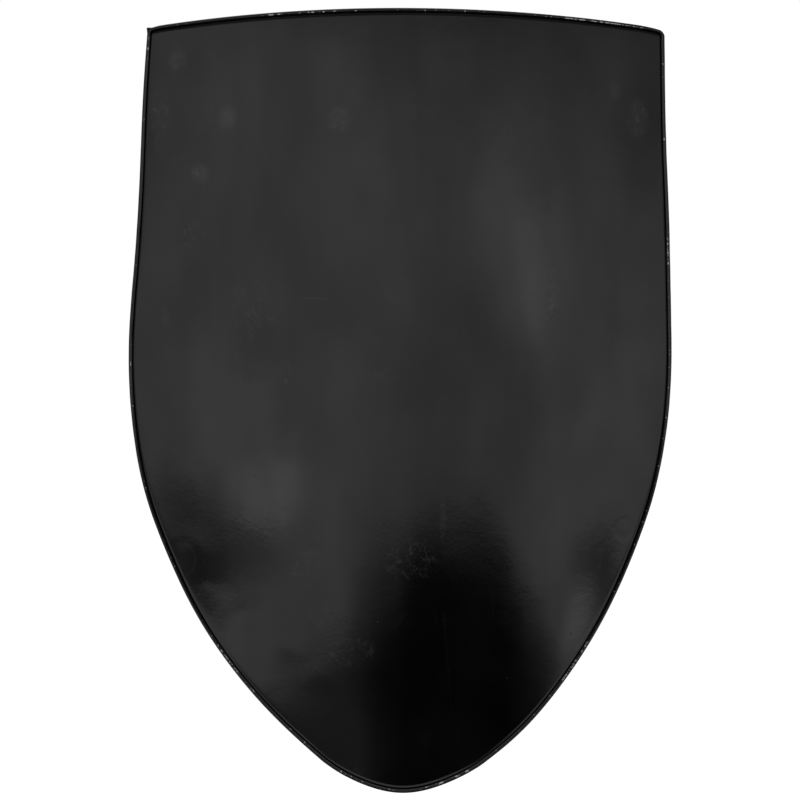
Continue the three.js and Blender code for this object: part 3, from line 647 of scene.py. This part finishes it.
def blackPaint(name, setup, onPlate):
    def build(sheet):
        place = sheet.coordinates()
        x, y, z = place.split()
        z = z - plateMiddle.z
        # orange peel, a slower wave of the coat, and dust nibs
        peel = sheet.noise(place, setup["orangePeel"], detail=1.5)
        pool = sheet.noise(place, 16 * mm, detail=2)
        nibs = 1 - sheet.cells(place, 24 * mm).between(0.012, 0.04)
        height = peel + pool * setup["pools"] + nibs * setup["nibs"]
        # rubbed zones: blotchy scuffs, with short strokes in them
        bent = sheet.noise(place, 9 * mm, detail=2) * strokeForm["wander"]
        slope, squeeze = strokeForm["slope"], strokeForm["squeeze"]
        leaning = {0: x + z * slope + bent, 1: y, 2: (z - x * slope) * squeeze}
        leaning = sheet.node("ShaderNodeCombineXYZ", {}, leaning)
        strokes = sheet.noise(leaning, 2.2 * mm, detail=3, roughness=0.6).between(0.56, 0.76)
        scuffs = sheet.noise(place, 7 * mm, detail=6, roughness=0.74).between(0.5, 0.72)
        rubs = strokes * 0.35 + scuffs * 0.5
        zones = sheet.noise(place, 60 * mm, detail=3, roughness=0.65).between(0.54, 0.74) * 0.3
        cloud = sheet.noise(place, 85 * mm, detail=5, roughness=0.62)
        patches = sheet.noise(place, 22 * mm, detail=4, roughness=0.6).between(0.5, 0.75)
        marks = rubs * zones
        if onPlate:
            # the marks by place are on the front alone
            depth = y - curveAxisY
            beyond = (x * x + depth * depth) ** 0.5 - plateForm["curve"]
            front = beyond.between(-0.1 * mm, 0.1 * mm)
            rubbed, smears, lines, dents = 0, 0, 0, 0
            smearX = x + bent * smearForm["wander"] - smearForm["shift"]
            smearZ = z + (pool - 0.5) * smearForm["rise"]
            for spot in rubbedPlaces:
                rubbed = placeMask(x, z, spot) * 0.8 + rubbed
                if "smear" in spot:
                    ragged = placeMask(smearX, smearZ, spot, smearForm["edge"])
                    smears = ragged * ragged * spot["smear"] + smears
            for line in hairlines:
                lines = hairlineMask(x, z, line) * line.get("strength", 0.5) + lines
            for ding in dings:
                dents = dingHeight(x, z, ding) + dents
            marks = marks + (rubs * rubbed + lines) * front
            zones = zones + rubbed * front
            height = height - dents * front * setup["dings"]
        marks = marks.maths("MINIMUM", 1)
        # the paler haze is partly dust in the coat and partly a painted reflection: soft clouds
        # of light standing in for the studio mirrored in the gloss
        hazeAndSheen = cloud.between(0.35, 0.75) * 0.7 + patches * (zones + 0.25)
        tone = hazeAndSheen * setup["hazeAndSheen"] + marks * setup["rubbedTone"] + setup["tone"]
        roughness = cloud * (0.6 * setup["roughness"]) + 0.7 * setup["roughness"]
        roughness = roughness + marks * setup["rubbedRoughness"]
        height = height - marks * setup["marks"]
        looks, under = {}, None
        if onPlate:
            chipped = chippedCrest(sheet, place, x, z, beyond)
            tone = tone + smears * (scuffs * 0.5 + 0.75) * front * setup["smearTone"]
            tone = tone + chipped * setup["chipTone"]
            roughness = roughness + chipped * setup["chipRoughness"]
            height = height - chipped * setup["chips"]
            looks["Metallic"] = chipped
            fromBead = {"attribute_name": "fromBead"}
            gutter = sheet.node("ShaderNodeAttribute", fromBead, {}, output="Fac")
            ease = gutter.between(gutterForm["from"], gutterForm["to"]) * front
            under = sheet.bump(ease, gutterForm["sag"])
        colour = {0: tone, 1: tone, 2: tone * 1.02}
        looks["Base Color"] = sheet.node("ShaderNodeCombineColor", {}, colour)
        looks["Roughness"] = roughness
        looks["Normal"] = sheet.bump(height, setup["orangePeelHeight"], under)
        return looks

    return newMaterial(name, {"IOR": 1.5}, build)


paintOnPlate = blackPaint("black_paint_plate", paintSetup, onPlate=True)
paintOnLoops = blackPaint("black_paint_loops", paintSetup, onPlate=False)

# Plate: the CAD plate made smooth, with the slow waves of a hand-worked sheet

plateWaves = [
    {"size": 190 * mm, "height": 0.1 * mm, "seed": 3},
    {"size": 75 * mm, "height": 0.03 * mm, "seed": 11},
    {"size": 32 * mm, "height": 0.007 * mm, "seed": 19},
]
rimWaves = {"size": 15 * mm, "height": 0.2 * mm, "seed": 5}


def waved(place, waves):
    return noise.noise(place / waves["size"] + Vector((0, 0, waves["seed"]))) * waves["height"]


def smoothCopy(node):
    # a finer copy of a node, its cut edges kept crisp, stretched back to the node's box
    bm = mergedCopy(node)
    crease = bm.edges.layers.float.new("crease_edge")
    for edge in bm.edges:
        if edge.calc_face_angle(0) > math.radians(60):
            edge[crease] = 1
    bm = subdivided(bm, 2)
    low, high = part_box(node)
    for axis in (0, 2):
        least = min(vert.co[axis] for vert in bm.verts)
        most = max(vert.co[axis] for vert in bm.verts)
        stretch = (high[axis] - low[axis]) / (most - least)
        for vert in bm.verts:
            vert.co[axis] = low[axis] + (vert.co[axis] - least) * stretch
    return bm


# The two top corners as the hammer left them: both droop, the left one is drawn out to a nub
# and the right one is rounded off
cornerForm = {
    "nub": (-0.9 * mm, 1.7 * mm),
    "nubReach": 4 * mm,
    "round": 4.5 * mm,
    "droops": {-1: (1.9 * mm, 15 * mm), 1: (2.2 * mm, 26 * mm)},  # depth and reach by side
    "droopFade": 30 * mm,
}


def cornerOf(bm, side):
    # the outermost vertex of a top corner
    return max(bm.verts, key=lambda vert: side * vert.co.x + 2 * vert.co.z).co.copy()


def shapeCorners(bm, corners):
    nub, corner = corners[-1], corners[1].copy()
    radius = cornerForm["round"]
    for vert in bm.verts:
        away = math.hypot(vert.co.x - nub.x, vert.co.z - nub.z) / cornerForm["nubReach"]
        if away < 1:
            pull = (1 - away ** 2) ** 2
            vert.co.x += cornerForm["nub"][0] * pull
            vert.co.z += cornerForm["nub"][1] * pull
        for side, (depth, reach) in cornerForm["droops"].items():
            along = 1 - side * (corners[side].x - vert.co.x) / reach
            below = 1 - (corners[side].z - vert.co.z) / cornerForm["droopFade"]
            if along > 0 and below > 0:
                vert.co.z -= depth * along ** 2 * min(1, below)
    corner.z -= cornerForm["droops"][1][0]
    for vert in bm.verts:
        # squares round the corner's middle become circles
        across, up = vert.co.x - (corner.x - radius), vert.co.z - (corner.z - radius)
        if across > 0 and up > 0:
            shrink = max(across, up) / math.hypot(across, up)
            vert.co.x += across * (shrink - 1)
            vert.co.z += up * (shrink - 1)


def unrolled(place):
    return Vector((plateForm["curve"] * math.asin(place.x / plateForm["curve"]), 0, place.z))


def markGutter(bm):
    # how far each vertex is from the bead, along the sheet
    def proud(vert):
        return math.hypot(vert.co.x, vert.co.y - curveAxisY) - plateForm["curve"]

    bead = [face for face in bm.faces if min(proud(vert) for vert in face.verts) > mm]
    places, polygons = [], []
    for face in bead:
        polygons.append(range(len(places), len(places) + len(face.verts)))
        places.extend(unrolled(vert.co) for vert in face.verts)
    tree = BVHTree.FromPolygons(places, polygons)
    layer = bm.verts.layers.float.new("fromBead")
    for vert in bm.verts:
        vert[layer] = tree.find_nearest(unrolled(vert.co))[3]


def addPlate(bm, corners):
    shapeCorners(bm, corners)
    markGutter(bm)
    for vert in bm.verts:
        flat = Vector((vert.co.x, 0, vert.co.z))
        outward = Vector((vert.co.x, vert.co.y - curveAxisY, 0))
        proud = outward.length - plateForm["curve"]
        outward.normalize()
        push = sum(waved(flat, waves) for waves in plateWaves)
        if proud > 0.8 * mm:
            push += waved(vert.co, rimWaves) * min(1, proud / mm - 0.8)
        vert.co += outward * push
    return finishPiece("plate", bm, paintOnPlate, replaced=["shield_plate"],
                       sharp=180)


def addWire(corners):
    bm = smoothCopy("rim_wire")
    shapeCorners(bm, corners)
    finishPiece("wire", bm, paintOnLoops, replaced=["rim_wire"], sharp=180)


sheetMesh = smoothCopy("shield_plate")
topCorners = {side: cornerOf(sheetMesh, side) for side in (-1, 1)}
plate = addPlate(sheetMesh, topCorners)
addWire(topCorners)
print("plate and wire made:", len(plate.data.polygons), "faces")

# Back of the shield: frames that the straps' pieces are built in, as on the CAD part

backForm = {
    "loopRod": 2.5 * mm,  # radius of the welded loops' rod
    "barHeight": 9 * mm,
    "besideStrap": 2 * mm,  # from a strap's edge to the loop's leg
    "loopBend": 5 * mm,
    "weldRadius": 5.2 * mm,
    "weldHeight": 3 * mm,
    "weldRipple": 0.35 * mm,
    "seat": 0.3 * mm,
    "plies": 0.3 * mm,  # between the two plies of a folded strap
    "foldTaper": math.radians(13),
    "foldBend": 6 * mm,
    "rivetFromLoop": 15.5 * mm,
}
armForm = {
    "x": 95 * mm,
    "width": 38 * mm,
    "leather": 2.8 * mm,
    "rise": 88 * mm,
    "rake": math.radians(30.5),
    "archRadius": 48 * mm,
    "heelBar": 60 * mm,  # from the loop's bar to the buckle's
    "spread": 9 * mm,
}
handForm = {
    "x": -100 * mm,
    "width": 28 * mm,
    "leather": 4 * mm,
    "rise": 60 * mm,
    "height": 60 * mm,
    "flat": 52 * mm,
    "archRadius": 35 * mm,
    "shortPly": 25 * mm,
    "spread": 6.5 * mm,
}


def onPlateBack(x):
    # X along the plate, Y towards the bearer, Z up
    backRadius = plateForm["curve"] - plateForm["sheet"] / 2
    turn = math.asin(x / backRadius)
    place = Vector((x, curveAxisY - backRadius * math.cos(turn), 0))
    return Matrix.Translation(place) @ Matrix.Rotation(turn, 4, "Z")


def atLoop(rise, rake):
    # in the back's frame: Y along the strap as it leaves the bar, Z to its outer side
    matrix = Matrix.Translation((0, backForm["barHeight"], rise))
    matrix = matrix @ Matrix.Rotation(-math.copysign(rake, rise), 4, "X")
    return matrix @ Matrix.Rotation(math.pi, 4, "Y") if rise < 0 else matrix


def toParent(matrix, corners):
    # corners (u, v, radius) of a loop's frame as corners of the back's frame
    moved = []
    for u, v, *radius in corners:
        place = matrix @ Vector((0, u, v))
        moved.append((place.y, place.z, *radius))
    return moved


def foldCorners(barRadius, leather):
    # round a bar at (0, 0) and back, the plies drawn together past it
    wrap = barRadius + backForm["seat"] + leather / 2
    ply = (leather + backForm["plies"]) / 2
    taper, bend = backForm["foldTaper"], backForm["foldBend"]
    closeAt = (wrap / math.cos(taper) - ply) / math.tan(taper)
    corner = wrap / math.cos(taper) + wrap * math.tan(taper)
    half = [(closeAt, ply, bend), (-wrap, corner, wrap)]
    return [(u, -v, radius) for u, v, radius in half] + half[::-1]


def alongRoute(points, distance):
    for here, ahead in zip(points, points[1:]):
        span = (ahead - here).length
        if distance <= span:
            break
        distance -= span
    tangent = (ahead - here).normalized()
    return here + tangent * distance, tangent


armBack = onPlateBack(armForm["x"])
handBack = onPlateBack(handForm["x"])
armUpper = atLoop(armForm["rise"], armForm["rake"])
armLower = atLoop(-armForm["rise"], armForm["rake"])
handRake = math.atan2(handForm["rise"] - handForm["flat"] / 2,
                      handForm["height"] - backForm["barHeight"])
handUpper = atLoop(handForm["rise"], handRake)
handLower = atLoop(-handForm["rise"], handRake)
layFlat = Matrix(((0, 1, 0, 0), (0, 0, 1, 0), (1, 0, 0, 0), (0, 0, 0, 1)))  # a YZ route into XY

# Loops


def addLoop(name, back, rise, width):
    rod = backForm["loopRod"]
    legX = width / 2 + backForm["besideStrap"] + rod
    backRadius = plateForm["curve"] - plateForm["sheet"] / 2
    foot = backRadius - math.sqrt(backRadius ** 2 - legX ** 2) - plateForm["sheet"] / 4
    bar, bend = backForm["barHeight"], backForm["loopBend"]
    corners = [(-legX, foot), (-legX, bar, bend), (legX, bar, bend), (legX, foot)]
    points = route(corners, longest=0.5 * mm)
    weld = backForm["weldRadius"] - rod

    def scaleAt(k):
        # the rod flares into its weld beads at both feet
        share = min(1, max(0, (points[k].y - foot) / backForm["weldHeight"]))
        return 1 + weld / rod * (1 - math.sqrt(1 - (1 - share) ** 2))

    bm = swept(circle(rod, 24), points, scaleAt=scaleAt, scaleBoth=True)
    for vert in bm.verts:
        out = Vector((vert.co.x, vert.co.y - math.copysign(legX, vert.co.y), 0))
        low = 1 - min(1, (vert.co.z - foot) / backForm["weldHeight"])
        if low > 0 and vert.co.z > foot + 0.2 * mm:
            angle = math.atan2(out.y, out.x)
            ripple = math.sin(angle * 11 + rise * 900) * 0.5 + noise.noise(vert.co / (2 * mm))
            vert.co += out.normalized() * backForm["weldRipple"] * ripple * low
    placed(bm, back @ Matrix.Translation((0, 0, rise)) @ layFlat)
    finishPiece(name, bm, paintOnLoops)


for word, side in (("upper", 1), ("lower", -1)):
    addLoop("arm_loop_" + word, armBack, side * armForm["rise"], armForm["width"])
    addLoop("hand_loop_" + word, handBack, side * handForm["rise"], handForm["width"])
print("loops welded on")

# Leather

leatherSetup = {
    "arm": {"tone": (0.052, 0.021, 0.0095), "worn": (0.115, 0.052, 0.024), "roughness": 0.5},
    "hand": {"tone": (0.046, 0.019, 0.0085), "worn": (0.105, 0.046, 0.021), "roughness": 0.54},
    "grain": 0.9 * mm,
    "grainHeight": 0.09 * mm,
}
strapForm = {
    "edge": 0.8 * mm,
    "creaseAt": 2.6 * mm,  # the maker's line along each edge of the grain side
    "creaseWidth": 0.5 * mm,
    "creaseDepth": 0.25 * mm,
    "wave": {"size": 17 * mm, "height": 0.12 * mm, "seed": 2},
}


def leather(name, setup):
    def build(sheet):
        place = sheet.coordinates()
        pores = sheet.cells(place, leatherSetup["grain"], "SMOOTH_F1")
        wrinkles = sheet.noise(place, 5 * mm, detail=6, roughness=0.62)
        cloud = sheet.noise(place, 28 * mm, detail=4, roughness=0.6)
        rubbed = sheet.noise(place, 9 * mm, detail=5, roughness=0.7).between(0.52, 0.7)
        scuffs = sheet.noise(place.scaled(1, 0.12, 1), 2.2 * mm, detail=3).between(0.64, 0.72)
        share = cloud.between(0.35, 0.75) * 0.45 + rubbed * 0.3 + scuffs * 0.35
        share = share.maths("MINIMUM", 1)
        colour = sheet.mix(share, (*setup["tone"], 1), (*setup["worn"], 1))
        roughness = setup["roughness"] + share * 0.16 - pores * 0.1
        height = pores * 0.7 + wrinkles * 1.2 - scuffs * 0.3
        normal = sheet.bump(height, leatherSetup["grainHeight"])
        return {"Base Color": colour, "Roughness": roughness, "Normal": normal}

    return newMaterial(name, {"IOR": 1.45, "Specular IOR Level": 0.4}, build)


armLeather = leather("strap_leather", leatherSetup["arm"])
handLeather = leather("hand_leather", leatherSetup["hand"])


def bandOutline(width, thickness, form):
    # a strap's section: eased edges, and a crease line along both edges of the grain side
    edge = form["edge"]
    flat, face = width / 2 - edge, thickness / 2 - edge
    crease = flat + edge - form["creaseAt"]
    half = form["creaseWidth"] / 2
    line = [(crease + half, 0), (crease, form["creaseDepth"]), (crease - half, 0), (flat / 2, 0)]
    grainSide = line + [(0, 0)] + [(-x, depth) for x, depth in line[::-1]]
    points = []
    for quarter, (side, up) in enumerate(((1, 1), (-1, 1), (-1, -1), (1, -1))):
        for step in range(5):
            angle = math.pi / 2 * (quarter + step / 4)
            across, out = edge * math.cos(angle), edge * math.sin(angle)
            points.append((side * flat + across, up * face + out))
        if quarter == 0:
            points += [(x, thickness / 2 - depth) for x, depth in grainSide]
        if quarter == 2:
            points += [(-x, -thickness / 2) for x, depth in grainSide]
    return points


def strapBand(points, width, thickness, scaleAt=None):
    bm = swept(bandOutline(width, thickness, strapForm), points, scaleAt=scaleAt)
    bm.normal_update()
    for vert in bm.verts:
        vert.co += vert.normal * waved(vert.co, strapForm["wave"])
    return bm


def slotCutter(width, length, depth, sides=16):
    # a round-ended slot, long along Y and cutting along Z
    bm = bmesh.new()
    half = Matrix.Rotation(math.pi / sides, 4, "Z")
    bmesh.ops.create_circle(bm, cap_ends=True, radius=width / 2, segments=sides, matrix=half)
    for vert in bm.verts:
        vert.co.y += math.copysign((length - width) / 2, vert.co.y)
        vert.co.z -= depth / 2
    made = bmesh.ops.extrude_face_region(bm, geom=bm.faces[:])["geom"]
    tops = [item for item in made if isinstance(item, bmesh.types.BMVert)]
    bmesh.ops.translate(bm, verts=tops, vec=(0, 0, depth))
    bmesh.ops.recalc_face_normals(bm, faces=bm.faces)
    return bm


# Arm strap

tongueForm = {
    "tail": 4 * mm,  # from the loop's bar to the tip
    "tip": 24 * mm,
    "tipEnd": 0.25,
    "hole": (4.2 * mm, 14 * mm),
    "holePitch": 20 * mm,
    "usedHole": 5.6 * mm,  # past the heel bar
    "shortPly": 27 * mm,
    "atRoller": 3 * mm,
    "crest": 0.7 * mm,
}
rivetForm = {
    "shank": 1.6 * mm,
    "head": (4.5 * mm, 1.2 * mm),
    "peen": (2.7 * mm, 1 * mm),
    "burr": (4 * mm, 0.9 * mm),
    "burrEdge": 0.15 * mm,
    "clearance": 0.3 * mm,
    "hammered": 0.1 * mm,
    "dents": 1.7 * mm,
}
buckleForm = {
    "wire": 2.25 * mm,
    "length": 28 * mm,
    "corner": 4.5 * mm,
    "rollerWall": 0.8 * mm,
    "rollerEnd": 0.6 * mm,
    "rollerEdge": 0.3 * mm,
    "prong": 1.25 * mm,
    "prongPast": 2 * mm,
    "prongGap": math.radians(38),
    "prongTip": 0.6,
    "slot": (3.7 * mm, 26 * mm),
    "slotFromHeel": 6 * mm,
}
seat = backForm["seat"]
armPly = (armForm["leather"] + backForm["plies"]) / 2
armStack = 2 * armForm["leather"] + backForm["plies"]
rivetFromHeel = armForm["heelBar"] - backForm["rivetFromLoop"]
rollerRadius = buckleForm["wire"] + seat + buckleForm["rollerWall"]
overHeel = buckleForm["wire"] + 2 * seat + 1.5 * armForm["leather"] + tongueForm["crest"]
overLoop = backForm["loopRod"] + 2 * seat + 1.5 * armForm["leather"]
overHeads = armStack / 2 + rivetForm["head"][1] + 2 * seat + armForm["leather"] / 2
rollerDrop = tongueForm["atRoller"] + armForm["leather"] / 2 + seat + rollerRadius
buckleTilt = math.asin(rollerDrop / buckleForm["length"])


def addBuckleStrap():
    middle, heel = armForm["heelBar"] / 2, armForm["heelBar"]
    fold = foldCorners(buckleForm["wire"], armForm["leather"])
    atHeel = [(heel - u, v, radius) for u, v, radius in fold]
    corners = [(middle - backForm["plies"], -armPly),
               *foldCorners(backForm["loopRod"], armForm["leather"]),
               *atHeel[::-1],
               (middle + backForm["plies"], -armPly)]
    bm = strapBand(route(corners, longest=2 * mm), armForm["width"], armForm["leather"])
    slot = placed(slotCutter(*buckleForm["slot"], 4 * armStack),
                  Matrix.Translation((0, heel + buckleForm["slotFromHeel"], 0)))
    bm = cutOut(bm, [slot])
    placed(bm, armBack @ armUpper)
    finishPiece("buckle_strap", bm, armLeather, sharp=60)


def addTongueStrap():
    tail = 2 * armForm["archRadius"]
    rollerU = armForm["heelBar"] + buckleForm["length"] * math.cos(buckleTilt)
    headEnd = backForm["rivetFromLoop"] + rivetForm["head"][0]
    corners = toParent(armUpper, [
        (tongueForm["tail"], overLoop),
        (headEnd, overHeads, tail),
        (rivetFromHeel, overHeads, tail),
        (armForm["heelBar"], overHeel, armForm["archRadius"]),
        (rollerU, tongueForm["atRoller"], armForm["archRadius"]),
    ])
    arch = backForm["barHeight"] + armForm["rise"] / math.tan(armForm["rake"])
    corners.append((arch, 0, armForm["archRadius"]))
    fold = foldCorners(backForm["loopRod"], armForm["leather"])[::-1]
    corners += toParent(armLower, [*fold, (tongueForm["shortPly"], -armPly)])
    points = route(corners, longest=2 * mm)
    reached = 0
    distances = []
    for k, point in enumerate(points):
        reached += (point - points[k - 1]).length if k else 0
        distances.append(reached)

    def scaleAt(k):
        share = min(distances[k] / tongueForm["tip"], 1)
        return tongueForm["tipEnd"] + (1 - tongueForm["tipEnd"]) * math.sqrt(1 - (1 - share) ** 2)

    bm = strapBand(points, armForm["width"], armForm["leather"], scaleAt)
    cutters = []
    for hole in range(-2, 3):
        used = armForm["heelBar"] - tongueForm["tail"] + tongueForm["usedHole"]
        point, tangent = alongRoute(points, used + hole * tongueForm["holePitch"])
        turn = Matrix.Rotation(math.atan2(tangent.y, tangent.x), 4, "X")
        place = Matrix.Translation((0, point.x, point.y)) @ turn
        cutters.append(placed(slotCutter(*tongueForm["hole"], 2 * armForm["leather"]), place))
    bm = cutOut(bm, cutters)
    placed(bm, armBack)
    finishPiece("tongue_strap", bm, armLeather, sharp=60)


addBuckleStrap()
addTongueStrap()

# Hand strap


def addHandStrap():
    ply = (handForm["leather"] + backForm["plies"]) / 2
    fold = foldCorners(backForm["loopRod"], handForm["leather"])
    end = (handForm["shortPly"], -ply)
    height, flat, radius = handForm["height"], handForm["flat"], handForm["archRadius"]
    corners = [*toParent(handUpper, [end, *fold]),
               (height, flat / 2, radius),
               (height, -flat / 2, radius),
               *toParent(handLower, [*fold[::-1], end])]
    bm = strapBand(route(corners, longest=2 * mm), handForm["width"], handForm["leather"])
    placed(bm, handBack)
    finishPiece("hand_strap", bm, handLeather, sharp=60)


addHandStrap()

# Keeper

keeperForm = {
    "length": 10 * mm,
    "leather": 2 * mm,
    "clearance": 0.4 * mm,
    "corner": 1.6 * mm,
    "section": {**strapForm, "creaseAt": 1.8 * mm, "edge": 0.5 * mm},
}


def addKeeper():
    wall, clearance = keeperForm["leather"], keeperForm["clearance"]
    halfX = armForm["width"] / 2 + clearance + wall / 2
    low = -armStack / 2 - clearance - wall / 2
    high = overHeads + armForm["leather"] / 2 + clearance + wall / 2
    corner, middle = keeperForm["corner"], (low + high) / 2
    turns = [(halfX, high), (-halfX, high), (-halfX, low), (halfX, low)]
    corners = [(halfX, middle), *[(*turn, corner) for turn in turns], (halfX, middle)]
    points = route(corners, bendStep=15, longest=2 * mm)[:-1]
    outline = bandOutline(keeperForm["length"], wall, keeperForm["section"])
    bm = swept(outline, points, closed=True)
    place = armBack @ armUpper @ Matrix.Translation((0, armForm["heelBar"] / 2, 0))
    placed(bm, place @ Matrix.Rotation(-math.pi / 2, 4, "Z"))
    finishPiece("strap_keeper", bm, armLeather, "keeper", sharp=60)


addKeeper()
print("leather made")

# Nickelled steel and copper

metalSetup = {
    "nickel": {"tone": (0.60, 0.585, 0.55), "dull": (0.42, 0.40, 0.36), "roughness": 0.2,
               "grain": 0.02 * mm},
    "copper": {"tone": (0.68, 0.34, 0.20), "dull": (0.26, 0.12, 0.065), "roughness": 0.28,
               "grain": 0.05 * mm},
}


def wornMetal(name, setup):
    def build(sheet):
        place = sheet.coordinates()
        cloud = sheet.noise(place, 6 * mm, detail=5, roughness=0.65).between(0.42, 0.72)
        scratches = sheet.noise(place.scaled(0.15, 1, 1), 0.5 * mm, detail=2)
        share = (cloud * 0.8 + scratches.between(0.6, 0.75) * 0.4).maths("MINIMUM", 1)
        colour = sheet.mix(share, (*setup["tone"], 1), (*setup["dull"], 1))
        roughness = setup["roughness"] + share * 0.22
        height = scratches * 0.6 + sheet.noise(place, 1.6 * mm, detail=2)
        normal = sheet.bump(height, setup["grain"])
        return {"Base Color": colour, "Roughness": roughness, "Normal": normal}

    return newMaterial(name, {"Metallic": 1.0}, build)


nickel = wornMetal("nickel_steel", metalSetup["nickel"])
copper = wornMetal("copper", metalSetup["copper"])


def ringProfile(bore, radius, low, high, edge):
    # section of a ring round Z, its outer edges bevelled
    return [(bore, low), (radius - edge, low), (radius, low + edge), (radius, high - edge),
            (radius - edge, high), (bore, high), (bore, low)]


def addBuckle():
    place = armBack @ armUpper @ Matrix.Translation((0, armForm["heelBar"], 0))
    place = place @ Matrix.Rotation(buckleTilt, 4, "X")
    wire, length, corner = buckleForm["wire"], buckleForm["length"], buckleForm["corner"]
    half = armForm["width"] / 2 + backForm["besideStrap"] + wire
    turns = [(half, 0), (half, length), (-half, length), (-half, 0)]
    corners = [(0, 0), *[(*turn, corner) for turn in turns], (0, 0)]
    points = route(corners, longest=3 * mm)[:-1]
    bm = placed(swept(circle(wire, 20), points, closed=True), place @ layFlat)
    finishPiece("buckle_frame", bm, nickel, "buckle")

    reach = half - corner - buckleForm["rollerEnd"]
    profile = ringProfile(wire + seat, rollerRadius, -reach, reach, buckleForm["rollerEdge"])
    atRoller = place @ Matrix.Translation((0, length, 0)) @ Matrix.Rotation(math.pi / 2, 4, "Y")
    bm = placed(turned(profile, 32), atRoller)
    finishPiece("buckle_roller", bm, nickel, "roller")

    # the prong: round the heel bar, then out to the roller
    prong = buckleForm["prong"]
    curl = wire + seat + prong
    rest = rollerRadius + seat + prong
    slope = math.asin((rest - curl) / length)
    turn = 2 * math.pi - buckleForm["prongGap"]
    curlSteps, shankSteps = 30, 24
    points = []
    for step in range(curlSteps + 1):
        angle = slope + math.pi / 2 + turn * (1 - step / curlSteps)
        points.append(Vector((math.cos(angle), math.sin(angle))) * curl)
    ahead = Vector((math.cos(slope), math.sin(slope)))
    onRoller = math.sqrt(length ** 2 - (rest - curl) ** 2)
    start, past = points[-1].copy(), buckleForm["prongPast"]
    taperFrom = onRoller - 2 * past
    for step in range(1, shankSteps + 1):
        points.append(start + ahead * (onRoller + past) * step / shankSteps)

    def scaleAt(k):
        along = (points[k] - start).dot(ahead) if k > curlSteps else 0
        share = max(0, (along - taperFrom) / (onRoller + past - taperFrom))
        return 1 - (1 - buckleForm["prongTip"]) * share ** 1.5

    bm = placed(swept(circle(prong, 16), points, scaleAt=scaleAt, scaleBoth=True), place)
    finishPiece("buckle_prong", bm, nickel, "prong")


def addRivet(name, place, stack):
    headRadius, headHeight = rivetForm["head"]
    peenRadius, peenHeight = rivetForm["peen"]
    burrRadius, burrThickness = rivetForm["burr"]
    headSeat = stack / 2 + seat
    peenSeat = -(headSeat + burrThickness + seat)
    quarter = [math.pi / 2 * step / 6 for step in range(7)]
    peen = [(peenRadius * math.sin(angle), peenSeat - peenHeight * math.cos(angle))
            for angle in quarter]
    head = [(headRadius * math.cos(angle), headSeat + headHeight * (0.2 + 0.8 * math.sin(angle)))
            for angle in quarter]
    shank = rivetForm["shank"]
    bm = turned([*peen, (shank, peenSeat), (shank, headSeat), (headRadius, headSeat), *head])
    for vert in bm.verts:
        # struck flat here and there, differently on each rivet
        spot = vert.co / rivetForm["dents"] + place.translation * 900
        vert.co.z += noise.noise(spot) * rivetForm["hammered"]
    finishPiece(name + "_rivet", placed(bm, place), copper)

    burr = ringProfile(shank + rivetForm["clearance"], burrRadius, -headSeat - burrThickness,
                       -headSeat, rivetForm["burrEdge"])
    finishPiece(name + "_burr", placed(turned(burr), place), copper)


def addRivets(names, loop, fromLoop, form):
    # a left and a right one
    for word, side in (("left", -1), ("right", 1)):
        place = loop @ Matrix.Translation((side * form["spread"], fromLoop, 0))
        addRivet(names.format(word), place, 2 * form["leather"] + backForm["plies"])


addBuckle()
atLoopBar = backForm["rivetFromLoop"]
addRivets("buckle_strap_{}_loop", armBack @ armUpper, atLoopBar, armForm)
addRivets("buckle_strap_{}_heel", armBack @ armUpper, rivetFromHeel, armForm)
addRivets("tongue_strap_{}", armBack @ armLower, atLoopBar, armForm)
addRivets("hand_strap_upper_{}", handBack @ handUpper, atLoopBar, handForm)
addRivets("hand_strap_lower_{}", handBack @ handLower, atLoopBar, handForm)
print("buckle and rivets made")
